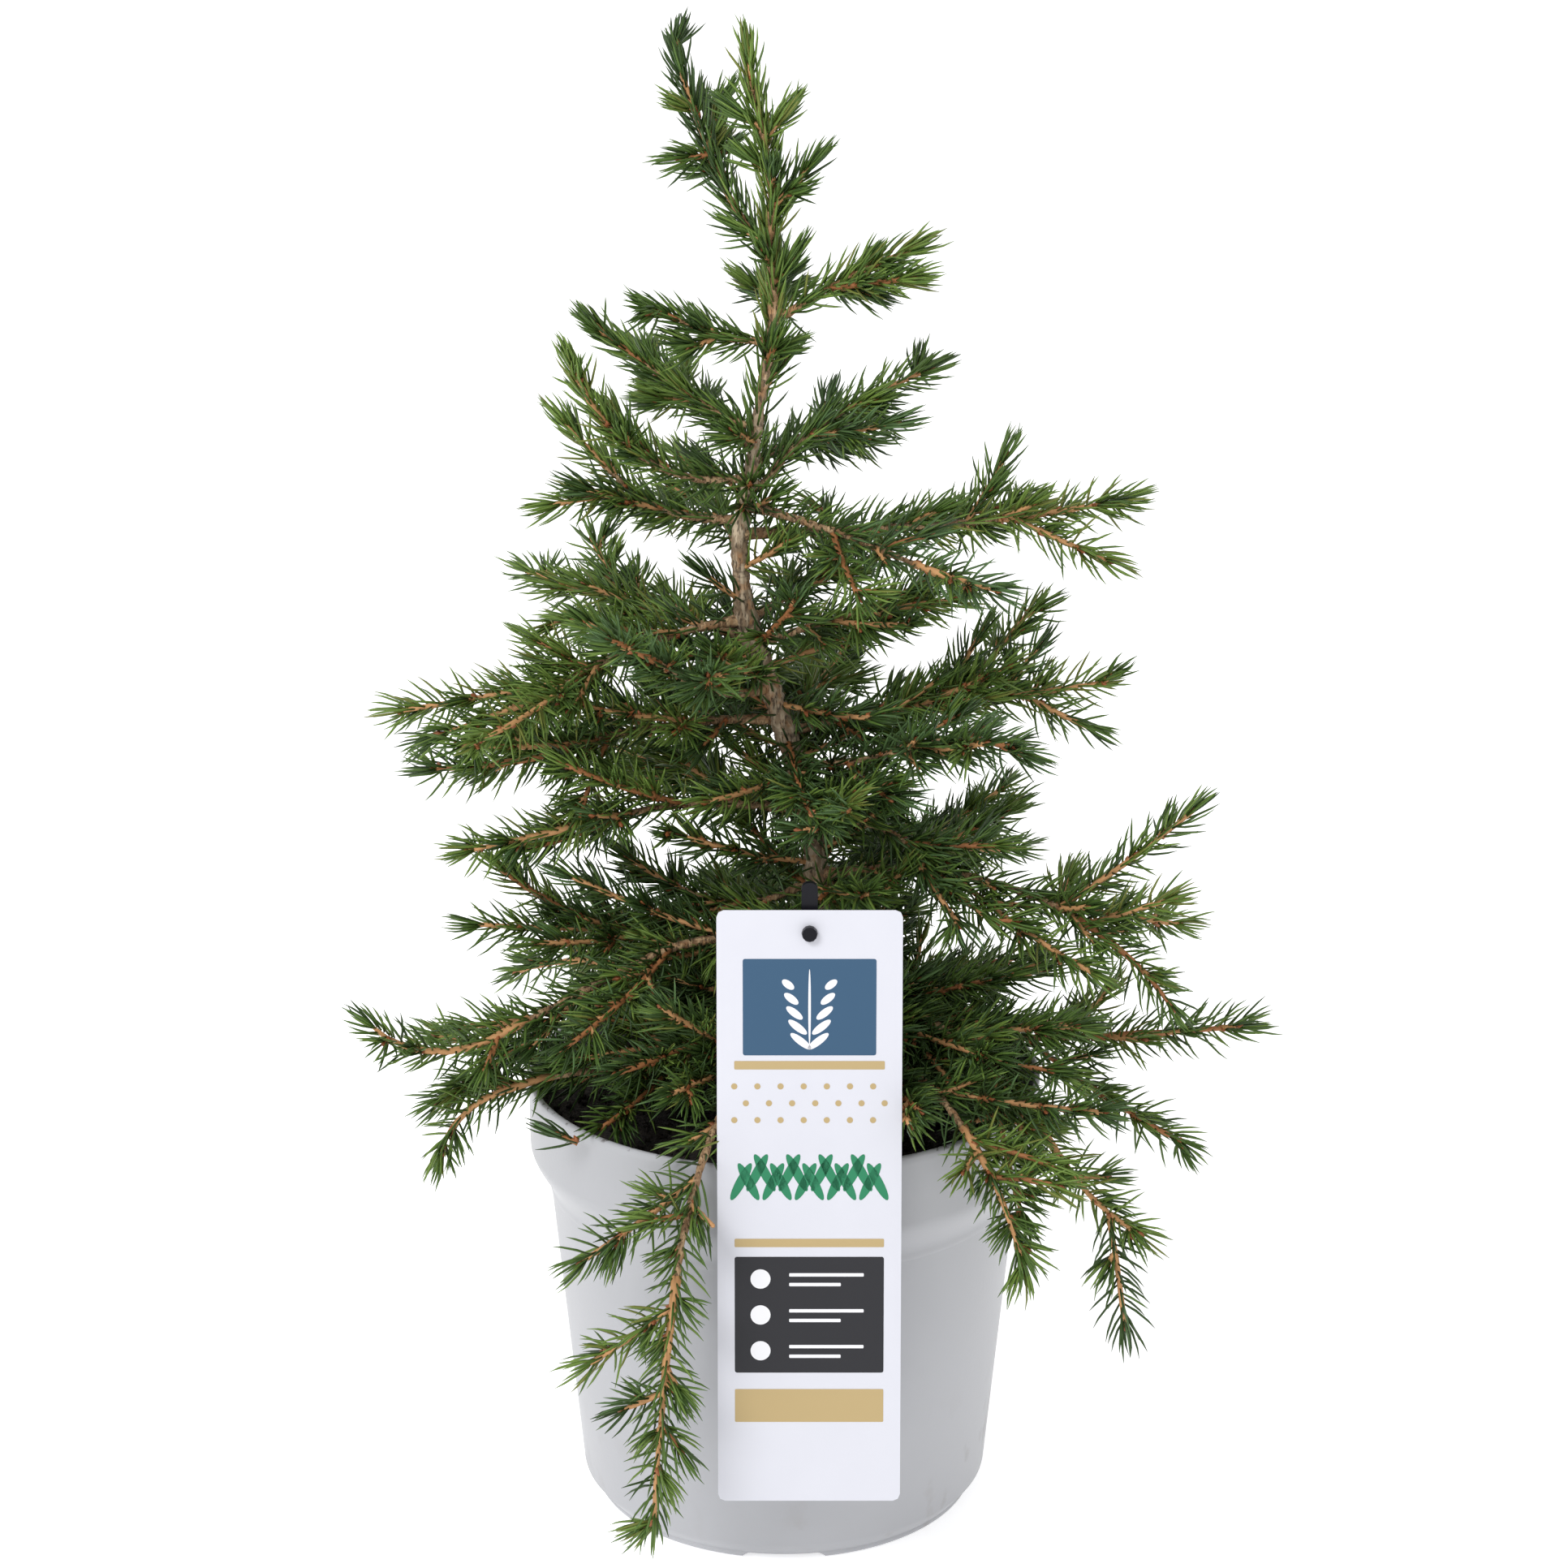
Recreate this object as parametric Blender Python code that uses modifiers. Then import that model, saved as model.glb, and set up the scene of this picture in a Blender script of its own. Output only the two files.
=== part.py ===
"""A small potted spruce, 0.55 m tall: nursery pot, soil, trunk, boughs, foliage and a hanging plant label.

Metres, +Z up. The origin is the middle of the pot's flat underside. The label hangs on the -Y side.
Headings are degrees anticlockwise from +X, rises are degrees above level.
"""
import math
from collections import namedtuple

import bpy
import bmesh
import numpy as np
from mathutils import Matrix, Vector

MM = 0.001
CLEAR = 0.3 * MM

# Pot
RIM_RADIUS = 95 * MM
POT_HEIGHT = 165.8 * MM
COLLAR_BOTTOM = 140 * MM
COLLAR_RADIUS = 94.8 * MM
SHOULDER_BOTTOM = 121.8 * MM
SHOULDER_RADIUS = 87.2 * MM
FOOT_TOP = 8.3 * MM
FOOT_TOP_RADIUS = 76.2 * MM
FOOT_RADIUS = 72 * MM
FOOT_ROUND = 2.5 * MM
WALL = 1.6 * MM
LIP_DEPTH = 3 * MM
LIP_WALL = 2.4 * MM
LIP_ROUND = 0.7 * MM
STEP_SLOPE = 1 * MM
SHOULDER_KINK = (1.6 * MM, 3.5 * MM)
FOOT_RING_INNER = 66 * MM
UNDERSIDE_DISC = 46 * MM
GUTTER_RAISE = 3 * MM
POT_STEPS = 36
DRAIN_HOLES = 6
DRAIN_RADIUS = 5 * MM
DRAIN_TURN = 0.58
NOTCHES = 4
NOTCH_WIDTH = 27 * MM
NOTCH_HEIGHT = 2.7 * MM
NOTCH_DEPTH = 12 * MM
NOTCH_TOP_SHARE = 0.8

# Soil
SOIL_TOP = 153.6 * MM
SOIL_MOUND = 2.5 * MM
SOIL_FLAT_RADIUS = 26 * MM

# Trunk: height, sideways lean and radius at each station
TrunkStation = namedtuple("TrunkStation", "height x y radius")
TRUNK_STATIONS = [TrunkStation(*(value * MM for value in row)) for row in (
    (153.9, 13.5, 0, 8.0),
    (159, 13.5, 0, 6.0),
    (168, 13.4, 0, 5.0),
    (231, 12.6, 0, 4.3),
    (268, 9.5, 1, 4.1),
    (302, -1.8, 2, 4.0),
    (326, -9.8, 1, 4.2),
    (338, -13.9, 0, 4.1),
    (356, -15.7, 0, 3.2),
    (371, -15.8, 0, 3.0),
    (390, -11.8, 1, 2.5),
    (420, -8.0, 1, 2.1),
    (448, -3.0, 0, 2.3),
    (472, -5.3, 0, 1.6),
    (487, -3.8, 0, 1.5),
    (506, -6.4, 0, 1.3),
    (528, -11.6, 0, 1.1),
)]
TRUNK_RINGS = 34
TRUNK_FLARE = 15 * MM

# Label card and its holder
CARD_WIDTH = 64 * MM
CARD_HEIGHT = 212 * MM
CARD_THICK = 0.8 * MM
CARD_CORNER = 2.5 * MM
CARD_TOP = 256.4 * MM
CARD_X = 8.8 * MM
CARD_HOLE_DROP = 8 * MM
CARD_HOLE_RADIUS = 2.2 * MM
CARD_LEAN = math.radians(8)
STAKE_WIDTH = 5.6 * MM
STAKE_THICK = 2.4 * MM
STAKE_TOP = 265.5 * MM
STAKE_ROUND = 2.4 * MM
STAKE_GAP = 2.2 * MM
PEG_RADIUS = 1.7 * MM
PEG_HEAD_RADIUS = 2.8 * MM
PEG_HEAD_LENGTH = 2.4 * MM
PEG_TAPER = 0.92
PEG_SIDES = 12

# Every bough: where it leaves the trunk, which way, how it turns, how long, and its rise from trunk to tip.
# bare is the share of it that carries no foliage. On a main bough that share is a limb of its own.
Bough = namedtuple("Bough", "name height heading turn length rises bare")
BOUGHS = [Bough(*row) for row in (
    ("leader_left", 472, 145, -2, 85, (44, 66, 68), 0.30),
    ("crest_right", 448, -8, 0, 64, (36, 25, 27), 0.14),
    ("crest_left", 438, 186, 0, 52, (3, 27, 29), 0.14),
    ("crest_back", 443, 84, 10, 56, (20, 28, 34), 0.14),
    ("top_left", 408, 171, -1, 72, (23, 36, 34), 0.16),
    ("top_front_left", 389, 202, 1, 95, (-2, 45, 79), 0.38),
    ("top_right", 386, 23, 0, 90, (51, 22, 16), 0.30),
    ("top_back_right", 394, 62, 0, 102, (8, -1, 1), 0.24),
    ("top_back", 400, 128, 8, 82, (24, 22, 24), 0.22),
    ("upper_left", 374, 167, -1, 85, (-8, 42, 49), 0.34),
    ("upper_front_right", 379, -34, -1, 115, (-5, -13, -3), 0.36),
    ("upper_right", 369, 10, 0, 151, (-1, 2, 11), 0.42),
    ("upper_back", 364, 100, 6, 118, (4, 6, 12), 0.32),
    ("mid_left", 337, 196, 1, 124, (-5, -27, -7), 0.36),
    ("mid_right", 330, 1, 0, 80, (22, 9, 9), 0.24),
    ("mid_back_right", 338, 48, 0, 82, (12, 20, 15), 0.24),
    ("mid_back_left", 330, 140, -6, 124, (6, 0, 6), 0.32),
    ("mid_front_left", 312, -126, 0, 108, (6, 34, 22), 0.28),
    ("waist_left", 300, 184, 0, 134, (2, -17, 4), 0.36),
    ("waist_right", 296, 10, 1, 126, (12, 2, 9), 0.32),
    ("waist_front_right", 284, -33, 0, 106, (11, 25, -34), 0.28),
    ("waist_back", 292, 82, 6, 138, (4, -2, 4), 0.34),
    ("low_left", 266, 190, 1, 134, (14, -12, -8), 0.38),
    ("low_front", 268, -79, 0, 75, (23, 16, 11), 0.24),
    ("low_right", 262, -30, -1, 88, (21, -44, -12), 0.28),
    ("low_back", 262, 122, 8, 146, (2, -8, 0), 0.36),
    ("base_left", 236, 168, -1, 84, (-35, 18, 41), 0.24),
    ("base_right", 242, -13, -2, 154, (14, -19, -61), 0.46),
    ("base_back", 236, 55, 8, 148, (0, -8, 2), 0.36),
    ("skirt_left", 218, 178, -1, 131, (-12, 13, 46), 0.44),
    ("skirt_left_long", 208, 205, 0, 193, (40, -18, -21, 67), 0.48),
    ("skirt_right", 206, 2, 0, 174, (-43, 1, 6), 0.40),
    ("skirt_front_right", 197, -37, -5, 168, (10, -21, -49, 0), 0.42),
    ("skirt_back", 212, 95, 6, 156, (-2, -12, -4), 0.36),
    ("rim_left", 180, 202, -1, 165, (2, -8, 6, -18, -104), 0.60),
    ("rim_front_left", 171, -113, -2, 246, (27, 9, -39, -72, -78, -83), 0.44),
    ("rim_front_right", 175, -60, 0, 160, (22, 8, -16, -42, -66), 0.56),
    ("rim_back", 171, 140, 8, 158, (18, 2, -32), 0.56),
)]
MAIN_BOUGH = 130
BOUGH_STEPS = 18
BOUGH_FOOT_RADIUS = 2.6 * MM
BOUGH_SLIMMING = 0.55
FULL_BOUGH = 165
FOOT_STUB = 2 * MM

# The leader's stem stands on the trunk's tip
LEADER_STEM = 22 * MM
LEADER_HEADING = 160
LEADER_RISES = (90, 78, 76)

# Forks that the rule for side twigs would miss: share along the bough, swing, lift, length and curl
Fork = namedtuple("Fork", "share swing lift length curl")
FORKS = {name: [Fork(*row) for row in rows] for name, rows in {
    "leader_left": ((0.45, 35, -40, 22, 10), (0.62, -40, -10, 18, 25)),
    "crest_right": ((0.30, -24, -16, 46, 0),),
    "upper_left": ((0.42, 30, -22, 44, -20),),
    "upper_right": ((0.50, 26, 44, 40, 20), (0.62, -30, -24, 50, 0)),
    "mid_left": ((0.52, -18, 12, 72, 4), (0.44, -30, 36, 34, 10)),
    "waist_left": ((0.38, -14, 6, 62, -30), (0.40, 58, -30, 46, -50)),
    "waist_right": ((0.42, 24, 52, 42, 0), (0.60, 30, 40, 36, 0), (0.66, -20, -28, 40, 0)),
    "low_right": ((0.40, 24, 20, 46, 14),),
    "base_right": ((0.54, 22, 42, 72, 14), (0.62, 18, 36, 44, 0)),
    "skirt_left": ((0.50, 16, -10, 66, 6),),
    "skirt_front_right": ((0.84, -30, -50, 52, -20),),
    "rim_left": ((0.64, -34, 6, 36, -30),),
    "rim_front_left": ((0.50, -34, 34, 26, 0), (0.72, 50, -30, 22, 20), (0.76, -40, 20, 28, 10)),
    "rim_front_right": ((0.62, 34, 20, 42, -10), (0.72, 40, 30, 36, -20)),
}.items()}

# Side twigs that follow the rule
TWIG_SPACING = 36 * MM
TWIG_SPACING_SPREAD = (0.8, 1.2)
TWIG_FIRST_SPREAD = (0.25, 0.7)
TWIG_END_GAP = 8 * MM
TWIG_ANGLE = 50
TWIG_ANGLE_SPREAD = 8
TWIG_LIFT_SPREAD = (-6, 20)
TWIG_CURL = 14
TWIG_TURN_BACK = -0.25
TWIG_SHARE = 0.52
TWIG_SHORTEST = 15 * MM
TWIG_LONGEST = 46 * MM
TWIG_LENGTH_SPREAD = (0.85, 1.1)
TWIG_STEPS = 1
STEM_STEPS = 3
LINE_STEPS = 6

# Needles in the solids are fewer and larger than life
CORE_RADIUS = 2.3 * MM
CORE_END_RADIUS = 1.8 * MM
SPIKE_LENGTH = 13 * MM
SPIKE_RADIUS = 0.25 * MM
NEEDLE_LENGTH = 20 * MM
NEEDLE_RADIUS = 1.7 * MM
NEEDLE_SPACING = 16.5 * MM
NEEDLE_LEAN = 52
GOLDEN_ANGLE = math.radians(137.5)
SPACE_MARGIN = 0.5 * MM

COLOURS = {
    "pot": ((0.62, 0.64, 0.66, 1), 0.28),
    "soil": ((0.018, 0.013, 0.010, 1), 0.95),
    "bark": ((0.21, 0.15, 0.11, 1), 0.85),
    "needles": ((0.045, 0.105, 0.035, 1), 0.55),
    "card": ((0.80, 0.82, 0.90, 1), 0.35),
    "holder": ((0.012, 0.012, 0.016, 1), 0.35),
}


def clear_scene():
    for item in list(bpy.data.objects):
        bpy.data.objects.remove(item, do_unlink=True)


def new_collection(name):
    collection = bpy.data.collections.new(name)
    bpy.context.scene.collection.children.link(collection)
    return collection


def material(name):
    made = bpy.data.materials.get(name)
    if made is None:
        colour, roughness = COLOURS[name]
        made = bpy.data.materials.new(name)
        made.use_nodes = True
        shader = made.node_tree.nodes["Principled BSDF"]
        shader.inputs["Base Color"].default_value = colour
        shader.inputs["Roughness"].default_value = roughness
        shader.inputs["Metallic"].default_value = 0
        made.diffuse_color = colour
    return made


def link(obj, collection, finish=None):
    collection.objects.link(obj)
    if finish:
        obj.data.materials.append(material(finish))
    return obj


def hide_guide(obj):
    obj.hide_render = True
    obj.display_type = "WIRE"


def tube(name, points, radii, resolution):
    """A curve through the points, thick by the radii, with filled caps."""
    curve = bpy.data.curves.new(name, "CURVE")
    curve.dimensions = "3D"
    curve.bevel_depth = 1
    curve.bevel_resolution = resolution
    curve.use_fill_caps = True
    spline = curve.splines.new("POLY")
    spline.points.add(len(points) - 1)
    for spline_point, place, radius in zip(spline.points, points, radii):
        spline_point.co = (*place, 1)
        spline_point.radius = radius
    return bpy.data.objects.new(name, curve)


def mesh_from(obj, name):
    """The evaluated object as one closed mesh, with its loose caps welded."""
    bpy.context.scene.collection.objects.link(obj)
    graph = bpy.context.evaluated_depsgraph_get()
    mesh = bpy.data.meshes.new_from_object(obj.evaluated_get(graph))
    made = bpy.data.objects.new(name, mesh)
    made.matrix_world = obj.matrix_world
    bpy.data.objects.remove(obj, do_unlink=True)
    work = bmesh.new()
    work.from_mesh(mesh)
    bmesh.ops.remove_doubles(work, verts=work.verts, dist=0.01 * MM)
    bmesh.ops.recalc_face_normals(work, faces=work.faces)
    work.to_mesh(mesh)
    work.free()
    return made


def turned(name, profile, steps):
    """A profile of (radius, height) pairs from axis to axis, down its outer side, turned round Z."""
    mesh = bpy.data.meshes.new(name)
    work = bmesh.new()
    corners = [work.verts.new((radius, 0, height)) for radius, height in profile]
    for a, b in zip(corners, corners[1:]):
        work.edges.new((a, b))
    work.to_mesh(mesh)
    work.free()
    obj = bpy.data.objects.new(name, mesh)
    screw = obj.modifiers.new("turn", "SCREW")
    screw.steps = screw.render_steps = steps
    screw.use_merge_vertices = True
    screw.merge_threshold = 0.00001
    return obj


def inner_radius(height):
    """The pot's inner radius at a height: the outer slope less the wall."""
    heights = [GUTTER_RAISE, FOOT_TOP, SHOULDER_BOTTOM, COLLAR_BOTTOM, POT_HEIGHT]
    radii = [FOOT_TOP_RADIUS - STEP_SLOPE, FOOT_TOP_RADIUS, SHOULDER_RADIUS, COLLAR_RADIUS, RIM_RADIUS]
    return float(np.interp(height, heights, radii)) - WALL


def make_pot(parts, cutters):
    """One moulded shell: lip, collar, shoulder, tapered body, foot ring, drain gutter and centre disc."""
    floor = GUTTER_RAISE + WALL
    kink_out, kink_up = SHOULDER_KINK
    foot_arc = [(FOOT_RADIUS - FOOT_ROUND + FOOT_ROUND * math.cos(a), FOOT_ROUND - FOOT_ROUND * math.sin(a))
                for a in np.radians((20, 90))]
    profile = [
        (0, WALL),
        (UNDERSIDE_DISC - STEP_SLOPE, WALL),
        (UNDERSIDE_DISC + STEP_SLOPE, floor),
        (inner_radius(floor), floor),
        (inner_radius(SHOULDER_BOTTOM), SHOULDER_BOTTOM),
        (inner_radius(COLLAR_BOTTOM), COLLAR_BOTTOM),
        (inner_radius(POT_HEIGHT - LIP_DEPTH), POT_HEIGHT - LIP_DEPTH),
        (RIM_RADIUS - LIP_WALL, POT_HEIGHT),
        (RIM_RADIUS - LIP_ROUND, POT_HEIGHT),
        (RIM_RADIUS, POT_HEIGHT - LIP_ROUND),
        (COLLAR_RADIUS, COLLAR_BOTTOM + STEP_SLOPE),
        (SHOULDER_RADIUS + kink_out, SHOULDER_BOTTOM + kink_up),
        (SHOULDER_RADIUS, SHOULDER_BOTTOM),
        (FOOT_TOP_RADIUS, FOOT_TOP),
        *foot_arc,
        (FOOT_RING_INNER, 0),
        (FOOT_RING_INNER - STEP_SLOPE, GUTTER_RAISE),
        (UNDERSIDE_DISC + 2 * STEP_SLOPE, GUTTER_RAISE),
        (UNDERSIDE_DISC, 0),
        (0, 0),
    ]
    shell = turned("pot_turned", profile, POT_STEPS)
    pot = mesh_from(shell, "pot")
    link(pot, parts, "pot")
    for index in range(DRAIN_HOLES):
        angle = 2 * math.pi * (index + DRAIN_TURN) / DRAIN_HOLES
        reach = (UNDERSIDE_DISC + FOOT_RING_INNER + 2 * STEP_SLOPE) / 2
        work = bmesh.new()
        bmesh.ops.create_cone(work, cap_ends=True, segments=8, radius1=DRAIN_RADIUS, radius2=DRAIN_RADIUS,
                              depth=4 * floor)
        place = Matrix.Translation((reach * math.cos(angle), reach * math.sin(angle), floor))
        cut(pot, work, place, "drain_cutter", cutters)
    for index in range(NOTCHES):
        angle = 2 * math.pi * index / NOTCHES - math.pi / 2
        work = bmesh.new()
        bmesh.ops.create_cube(work, size=1)
        bmesh.ops.scale(work, vec=(NOTCH_DEPTH, NOTCH_WIDTH, 2 * NOTCH_HEIGHT), verts=work.verts)
        for vert in work.verts:
            if vert.co.z > 0:
                vert.co.y *= NOTCH_TOP_SHARE
        middle = (FOOT_RING_INNER + FOOT_TOP_RADIUS) / 2 - STEP_SLOPE / 2
        place = Matrix.Rotation(angle, 4, "Z") @ Matrix.Translation((middle, 0, 0))
        cut(pot, work, place, "notch_cutter", cutters)
    pot.data.shade_smooth()
    pot.data.set_sharp_from_angle(angle=math.radians(40))


def cut(obj, work, place, name, cutters):
    """Take a closed bmesh shape away from an object with a Boolean modifier."""
    mesh = bpy.data.meshes.new(name)
    work.to_mesh(mesh)
    work.free()
    cutter = bpy.data.objects.new(name, mesh)
    cutter.matrix_world = place
    hide_guide(cutter)
    cutters.objects.link(cutter)
    boolean = obj.modifiers.new(name, "BOOLEAN")
    boolean.operation = "DIFFERENCE"
    boolean.object = cutter


def make_soil(parts):
    """A plug of soil that fills the pot to just below its lip, flat in the middle for the trunk."""
    floor = GUTTER_RAISE + WALL + CLEAR
    edge = SOIL_TOP - SOIL_MOUND
    profile = [
        (0, SOIL_TOP),
        (SOIL_FLAT_RADIUS, SOIL_TOP),
        (inner_radius(edge) - CLEAR, edge),
        (inner_radius(COLLAR_BOTTOM) - 2 * CLEAR, COLLAR_BOTTOM),
        (inner_radius(SHOULDER_BOTTOM) - 2 * CLEAR, SHOULDER_BOTTOM),
        (inner_radius(floor) - 2 * CLEAR, floor),
        (0, floor),
    ]
    soil = mesh_from(turned("soil_turned", profile, POT_STEPS), "soil")
    link(soil, parts, "soil")


def trunk_at(height):
    """Centre and radius of the trunk at a height."""
    heights = [station.height for station in TRUNK_STATIONS]
    x, y, radius = (float(np.interp(height, heights, [getattr(station, part) for station in TRUNK_STATIONS]))
                    for part in ("x", "y", "radius"))
    return Vector((x, y, height)), radius


def make_trunk(parts, segments):
    """The whole trunk, from the flare on the soil to the foot of its top bud."""
    low, high = TRUNK_STATIONS[0].height, TRUNK_STATIONS[-1].height
    heights = sorted({station.height for station in TRUNK_STATIONS}
                     | set(np.linspace(low + TRUNK_FLARE, high, TRUNK_RINGS - len(TRUNK_STATIONS))))
    centres, radii = zip(*(trunk_at(height) for height in heights))
    trunk = mesh_from(tube("trunk_curve", centres, radii, 2), "trunk")
    link(trunk, parts, "bark")
    trunk.data.shade_smooth()
    add_segments(segments, "trunk", centres, radii)


def swept(start, heading, turn, length, rises, steps):
    """Points of a limb whose heading turns evenly and whose rise runs through the values of rises."""
    points = [Vector(start)]
    for index in range(steps):
        share = (index + 0.5) / steps
        bearing = math.radians(heading + turn * share)
        rise = math.radians(float(np.interp(share, np.linspace(0, 1, len(rises)), rises)))
        level = math.cos(rise)
        step = Vector((level * math.cos(bearing), level * math.sin(bearing), math.sin(rise)))
        points.append(points[-1] + step * (length / steps))
    return points


def bough_line(bough):
    """Centre line of a bough, from just clear of the trunk's bark to its tip."""
    centre = trunk_at(bough.height * MM)[0]
    bearing = math.radians(bough.heading)
    outward = Vector((math.cos(bearing), math.sin(bearing), 0))
    beside = [trunk_at(bough.height * MM + drop) for drop in (-BOUGH_FOOT_RADIUS, 0, BOUGH_FOOT_RADIUS)]
    reach = max((place - centre).dot(outward) + thick for place, thick in beside)
    foot = centre + outward * (reach + CLEAR)
    line = swept(foot + outward * FOOT_STUB, bough.heading, bough.turn, bough.length * MM - FOOT_STUB,
                 bough.rises, BOUGH_STEPS)
    return [foot] + line


def bough_radius(bough, share):
    """A bough's radius at a share of its length; a longer bough is thicker."""
    foot = BOUGH_FOOT_RADIUS * min(1, 0.45 + 0.55 * bough.length / FULL_BOUGH)
    return foot * (1 - BOUGH_SLIMMING * share)


def part_of(line, low, high, steps):
    """Evenly spaced points of a line between two shares of its length."""
    places = np.array(line)
    lengths = np.concatenate(([0], np.cumsum(np.linalg.norm(np.diff(places, axis=0), axis=1))))
    wanted = np.linspace(low, high, steps + 1) * lengths[-1]
    return [Vector(point) for point in zip(*(np.interp(wanted, lengths, places[:, k]) for k in range(3)))]


def length_of(line):
    return sum((b - a).length for a, b in zip(line, line[1:]))


def frame_on(line, share):
    """Place, forward, sideways and upward directions at a share of a line."""
    before, place, after = (part_of(line, max(0, share - 0.02), min(1, share + 0.02), 2))
    forward = (after - before).normalized()
    sideways = Vector((-forward.y, forward.x, 0))
    if sideways.length < 0.05:
        sideways = Vector((1, 0, 0))
    sideways.normalize()
    return place, forward, sideways, forward.cross(sideways)


def add_segments(store, owner, points, radii):
    """Remember a limb as straight pieces with radii, for the clearance tests."""
    for a, b, radius_a, radius_b in zip(points, points[1:], radii, radii[1:]):
        store.append((owner, np.array(a), np.array(b), max(radius_a, radius_b)))


def closest(p, q, starts, ends):
    """Least distance between the segment p-q and each of many segments."""
    one = q - p
    many = ends - starts
    offset = p - starts
    a = one @ one
    e = np.einsum("ij,ij->i", many, many)
    f = np.einsum("ij,ij->i", many, offset)
    c = offset @ one
    b = many @ one
    spread = np.maximum(a * e - b * b, 1e-18)
    s = np.clip((b * f - c * e) / spread, 0, 1)
    t = np.clip((b * s + f) / np.maximum(e, 1e-18), 0, 1)
    s = np.clip((b * t - c) / a, 0, 1)
    return np.linalg.norm(p + s[:, None] * one - starts - t[:, None] * many, axis=1)


class Space:
    """What is already there, so that a twig or needle which would touch it is skipped."""

    def __init__(self, segments):
        self.refresh(segments)

    def refresh(self, segments):
        self.owners = np.array([segment[0] for segment in segments])
        self.starts = np.array([segment[1] for segment in segments])
        self.ends = np.array([segment[2] for segment in segments])
        self.radii = np.array([segment[3] for segment in segments])

    def is_free(self, owner, p, q, radius):
        others = self.owners != owner
        gaps = closest(p, q, self.starts[others], self.ends[others]) - self.radii[others]
        room = radius + SPACE_MARGIN
        return gaps.min() > room and clear_of_pot(p, q, room) and clear_of_label(p, q, room)


def clear_of_pot(p, q, room):
    """Whether a segment keeps off the pot, the soil and the ground."""
    for share in np.linspace(0, 1, 9):
        x, y, z = p + (q - p) * share
        out = math.hypot(x, y)
        over_soil = out <= RIM_RADIUS - LIP_WALL - room
        over_pot = out < RIM_RADIUS + room
        lowest = SOIL_TOP if over_soil else POT_HEIGHT if over_pot else 0
        if z < lowest + room:
            return False
    return True


def card_frame():
    """The card's top middle, and the directions down the card and out of its face."""
    down = Vector((0, -math.sin(CARD_LEAN), -math.cos(CARD_LEAN)))
    face = Vector((0, -math.cos(CARD_LEAN), math.sin(CARD_LEAN)))
    lip_y = -math.sqrt(RIM_RADIUS ** 2 - CARD_X ** 2)
    touch = Vector((CARD_X, lip_y - CLEAR / math.cos(CARD_LEAN), POT_HEIGHT))
    back = touch + face * (CARD_THICK / 2 + 0.1 * MM)
    return back - down * ((CARD_TOP - POT_HEIGHT) / math.cos(CARD_LEAN)), down, face


def clear_of_label(p, q, room):
    """Whether a segment keeps off the label card and its holder."""
    top, down, face = card_frame()
    behind = STAKE_GAP + 2 * STAKE_THICK
    for share in np.linspace(0, 1, 9):
        place = Vector(p + (q - p) * share)
        offset = place - top
        along, out = offset.dot(down), offset.dot(face)
        over_card = abs(offset.x) < CARD_WIDTH / 2 + room and -room < along < CARD_HEIGHT + room
        if over_card and -behind - room < out < PEG_HEAD_LENGTH + CARD_THICK + room:
            return False
        by_stake = abs(offset.x) < STAKE_WIDTH + room and abs(offset.y) < behind + room
        if by_stake and place.z < STAKE_TOP + room:
            return False
    return True


def is_main(bough):
    return bough.length >= MAIN_BOUGH


def bare_of_stem(bough):
    """The share of a foliage mass's own stem that carries no needles."""
    return 0 if is_main(bough) else bough.bare


def make_bough(bough, parts, segments):
    """The bare limb of a main bough. Returns the line of its foliage's stem, which carries straight on."""
    name = "bough_" + bough.name
    line = bough_line(bough)
    points = line[:2] + part_of(line, 0, bough.bare, BOUGH_STEPS // 3)[1:]
    radii = [bough_radius(bough, share) for share in np.linspace(0, bough.bare, len(points))]
    limb = mesh_from(tube(name + "_curve", points, radii, 1), name)
    link(limb, parts, "bark")
    limb.data.shade_smooth()
    add_segments(segments, name, points, radii)
    forward = (points[-1] - points[-2]).normalized()
    foot = points[-1] + forward * CLEAR
    rest = part_of(line, bough.bare + 2 * FOOT_STUB / length_of(line), 1, BOUGH_STEPS)
    return [foot, foot + forward * FOOT_STUB] + rest


def side_twigs(bough, stem, rng):
    """Lines of the twigs that leave a stem: its forks, then alternate twigs that shorten to the tip."""
    low = bough.bare if is_main(bough) else 0
    twigs = []
    for fork in FORKS.get(bough.name, ()):
        share = max(0.02, (fork.share - low) / (1 - low))
        twigs.append(twig_line(stem, share, fork.swing, fork.lift, fork.length * MM, fork.curl))
    reach = length_of(stem)
    side = 1 if rng.random() < 0.5 else -1
    place = bare_of_stem(bough) * reach + rng.uniform(*TWIG_FIRST_SPREAD) * TWIG_SPACING
    while place < reach - TWIG_END_GAP:
        left = reach - place
        length = min(TWIG_LONGEST, max(TWIG_SHORTEST, TWIG_SHARE * left)) * rng.uniform(*TWIG_LENGTH_SPREAD)
        swing = side * (TWIG_ANGLE + rng.uniform(-TWIG_ANGLE_SPREAD, TWIG_ANGLE_SPREAD))
        lift = rng.uniform(*TWIG_LIFT_SPREAD)
        twigs.append(twig_line(stem, place / reach, swing, lift, length, TWIG_CURL))
        place += TWIG_SPACING * rng.uniform(*TWIG_SPACING_SPREAD)
        side = -side
    return twigs


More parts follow.
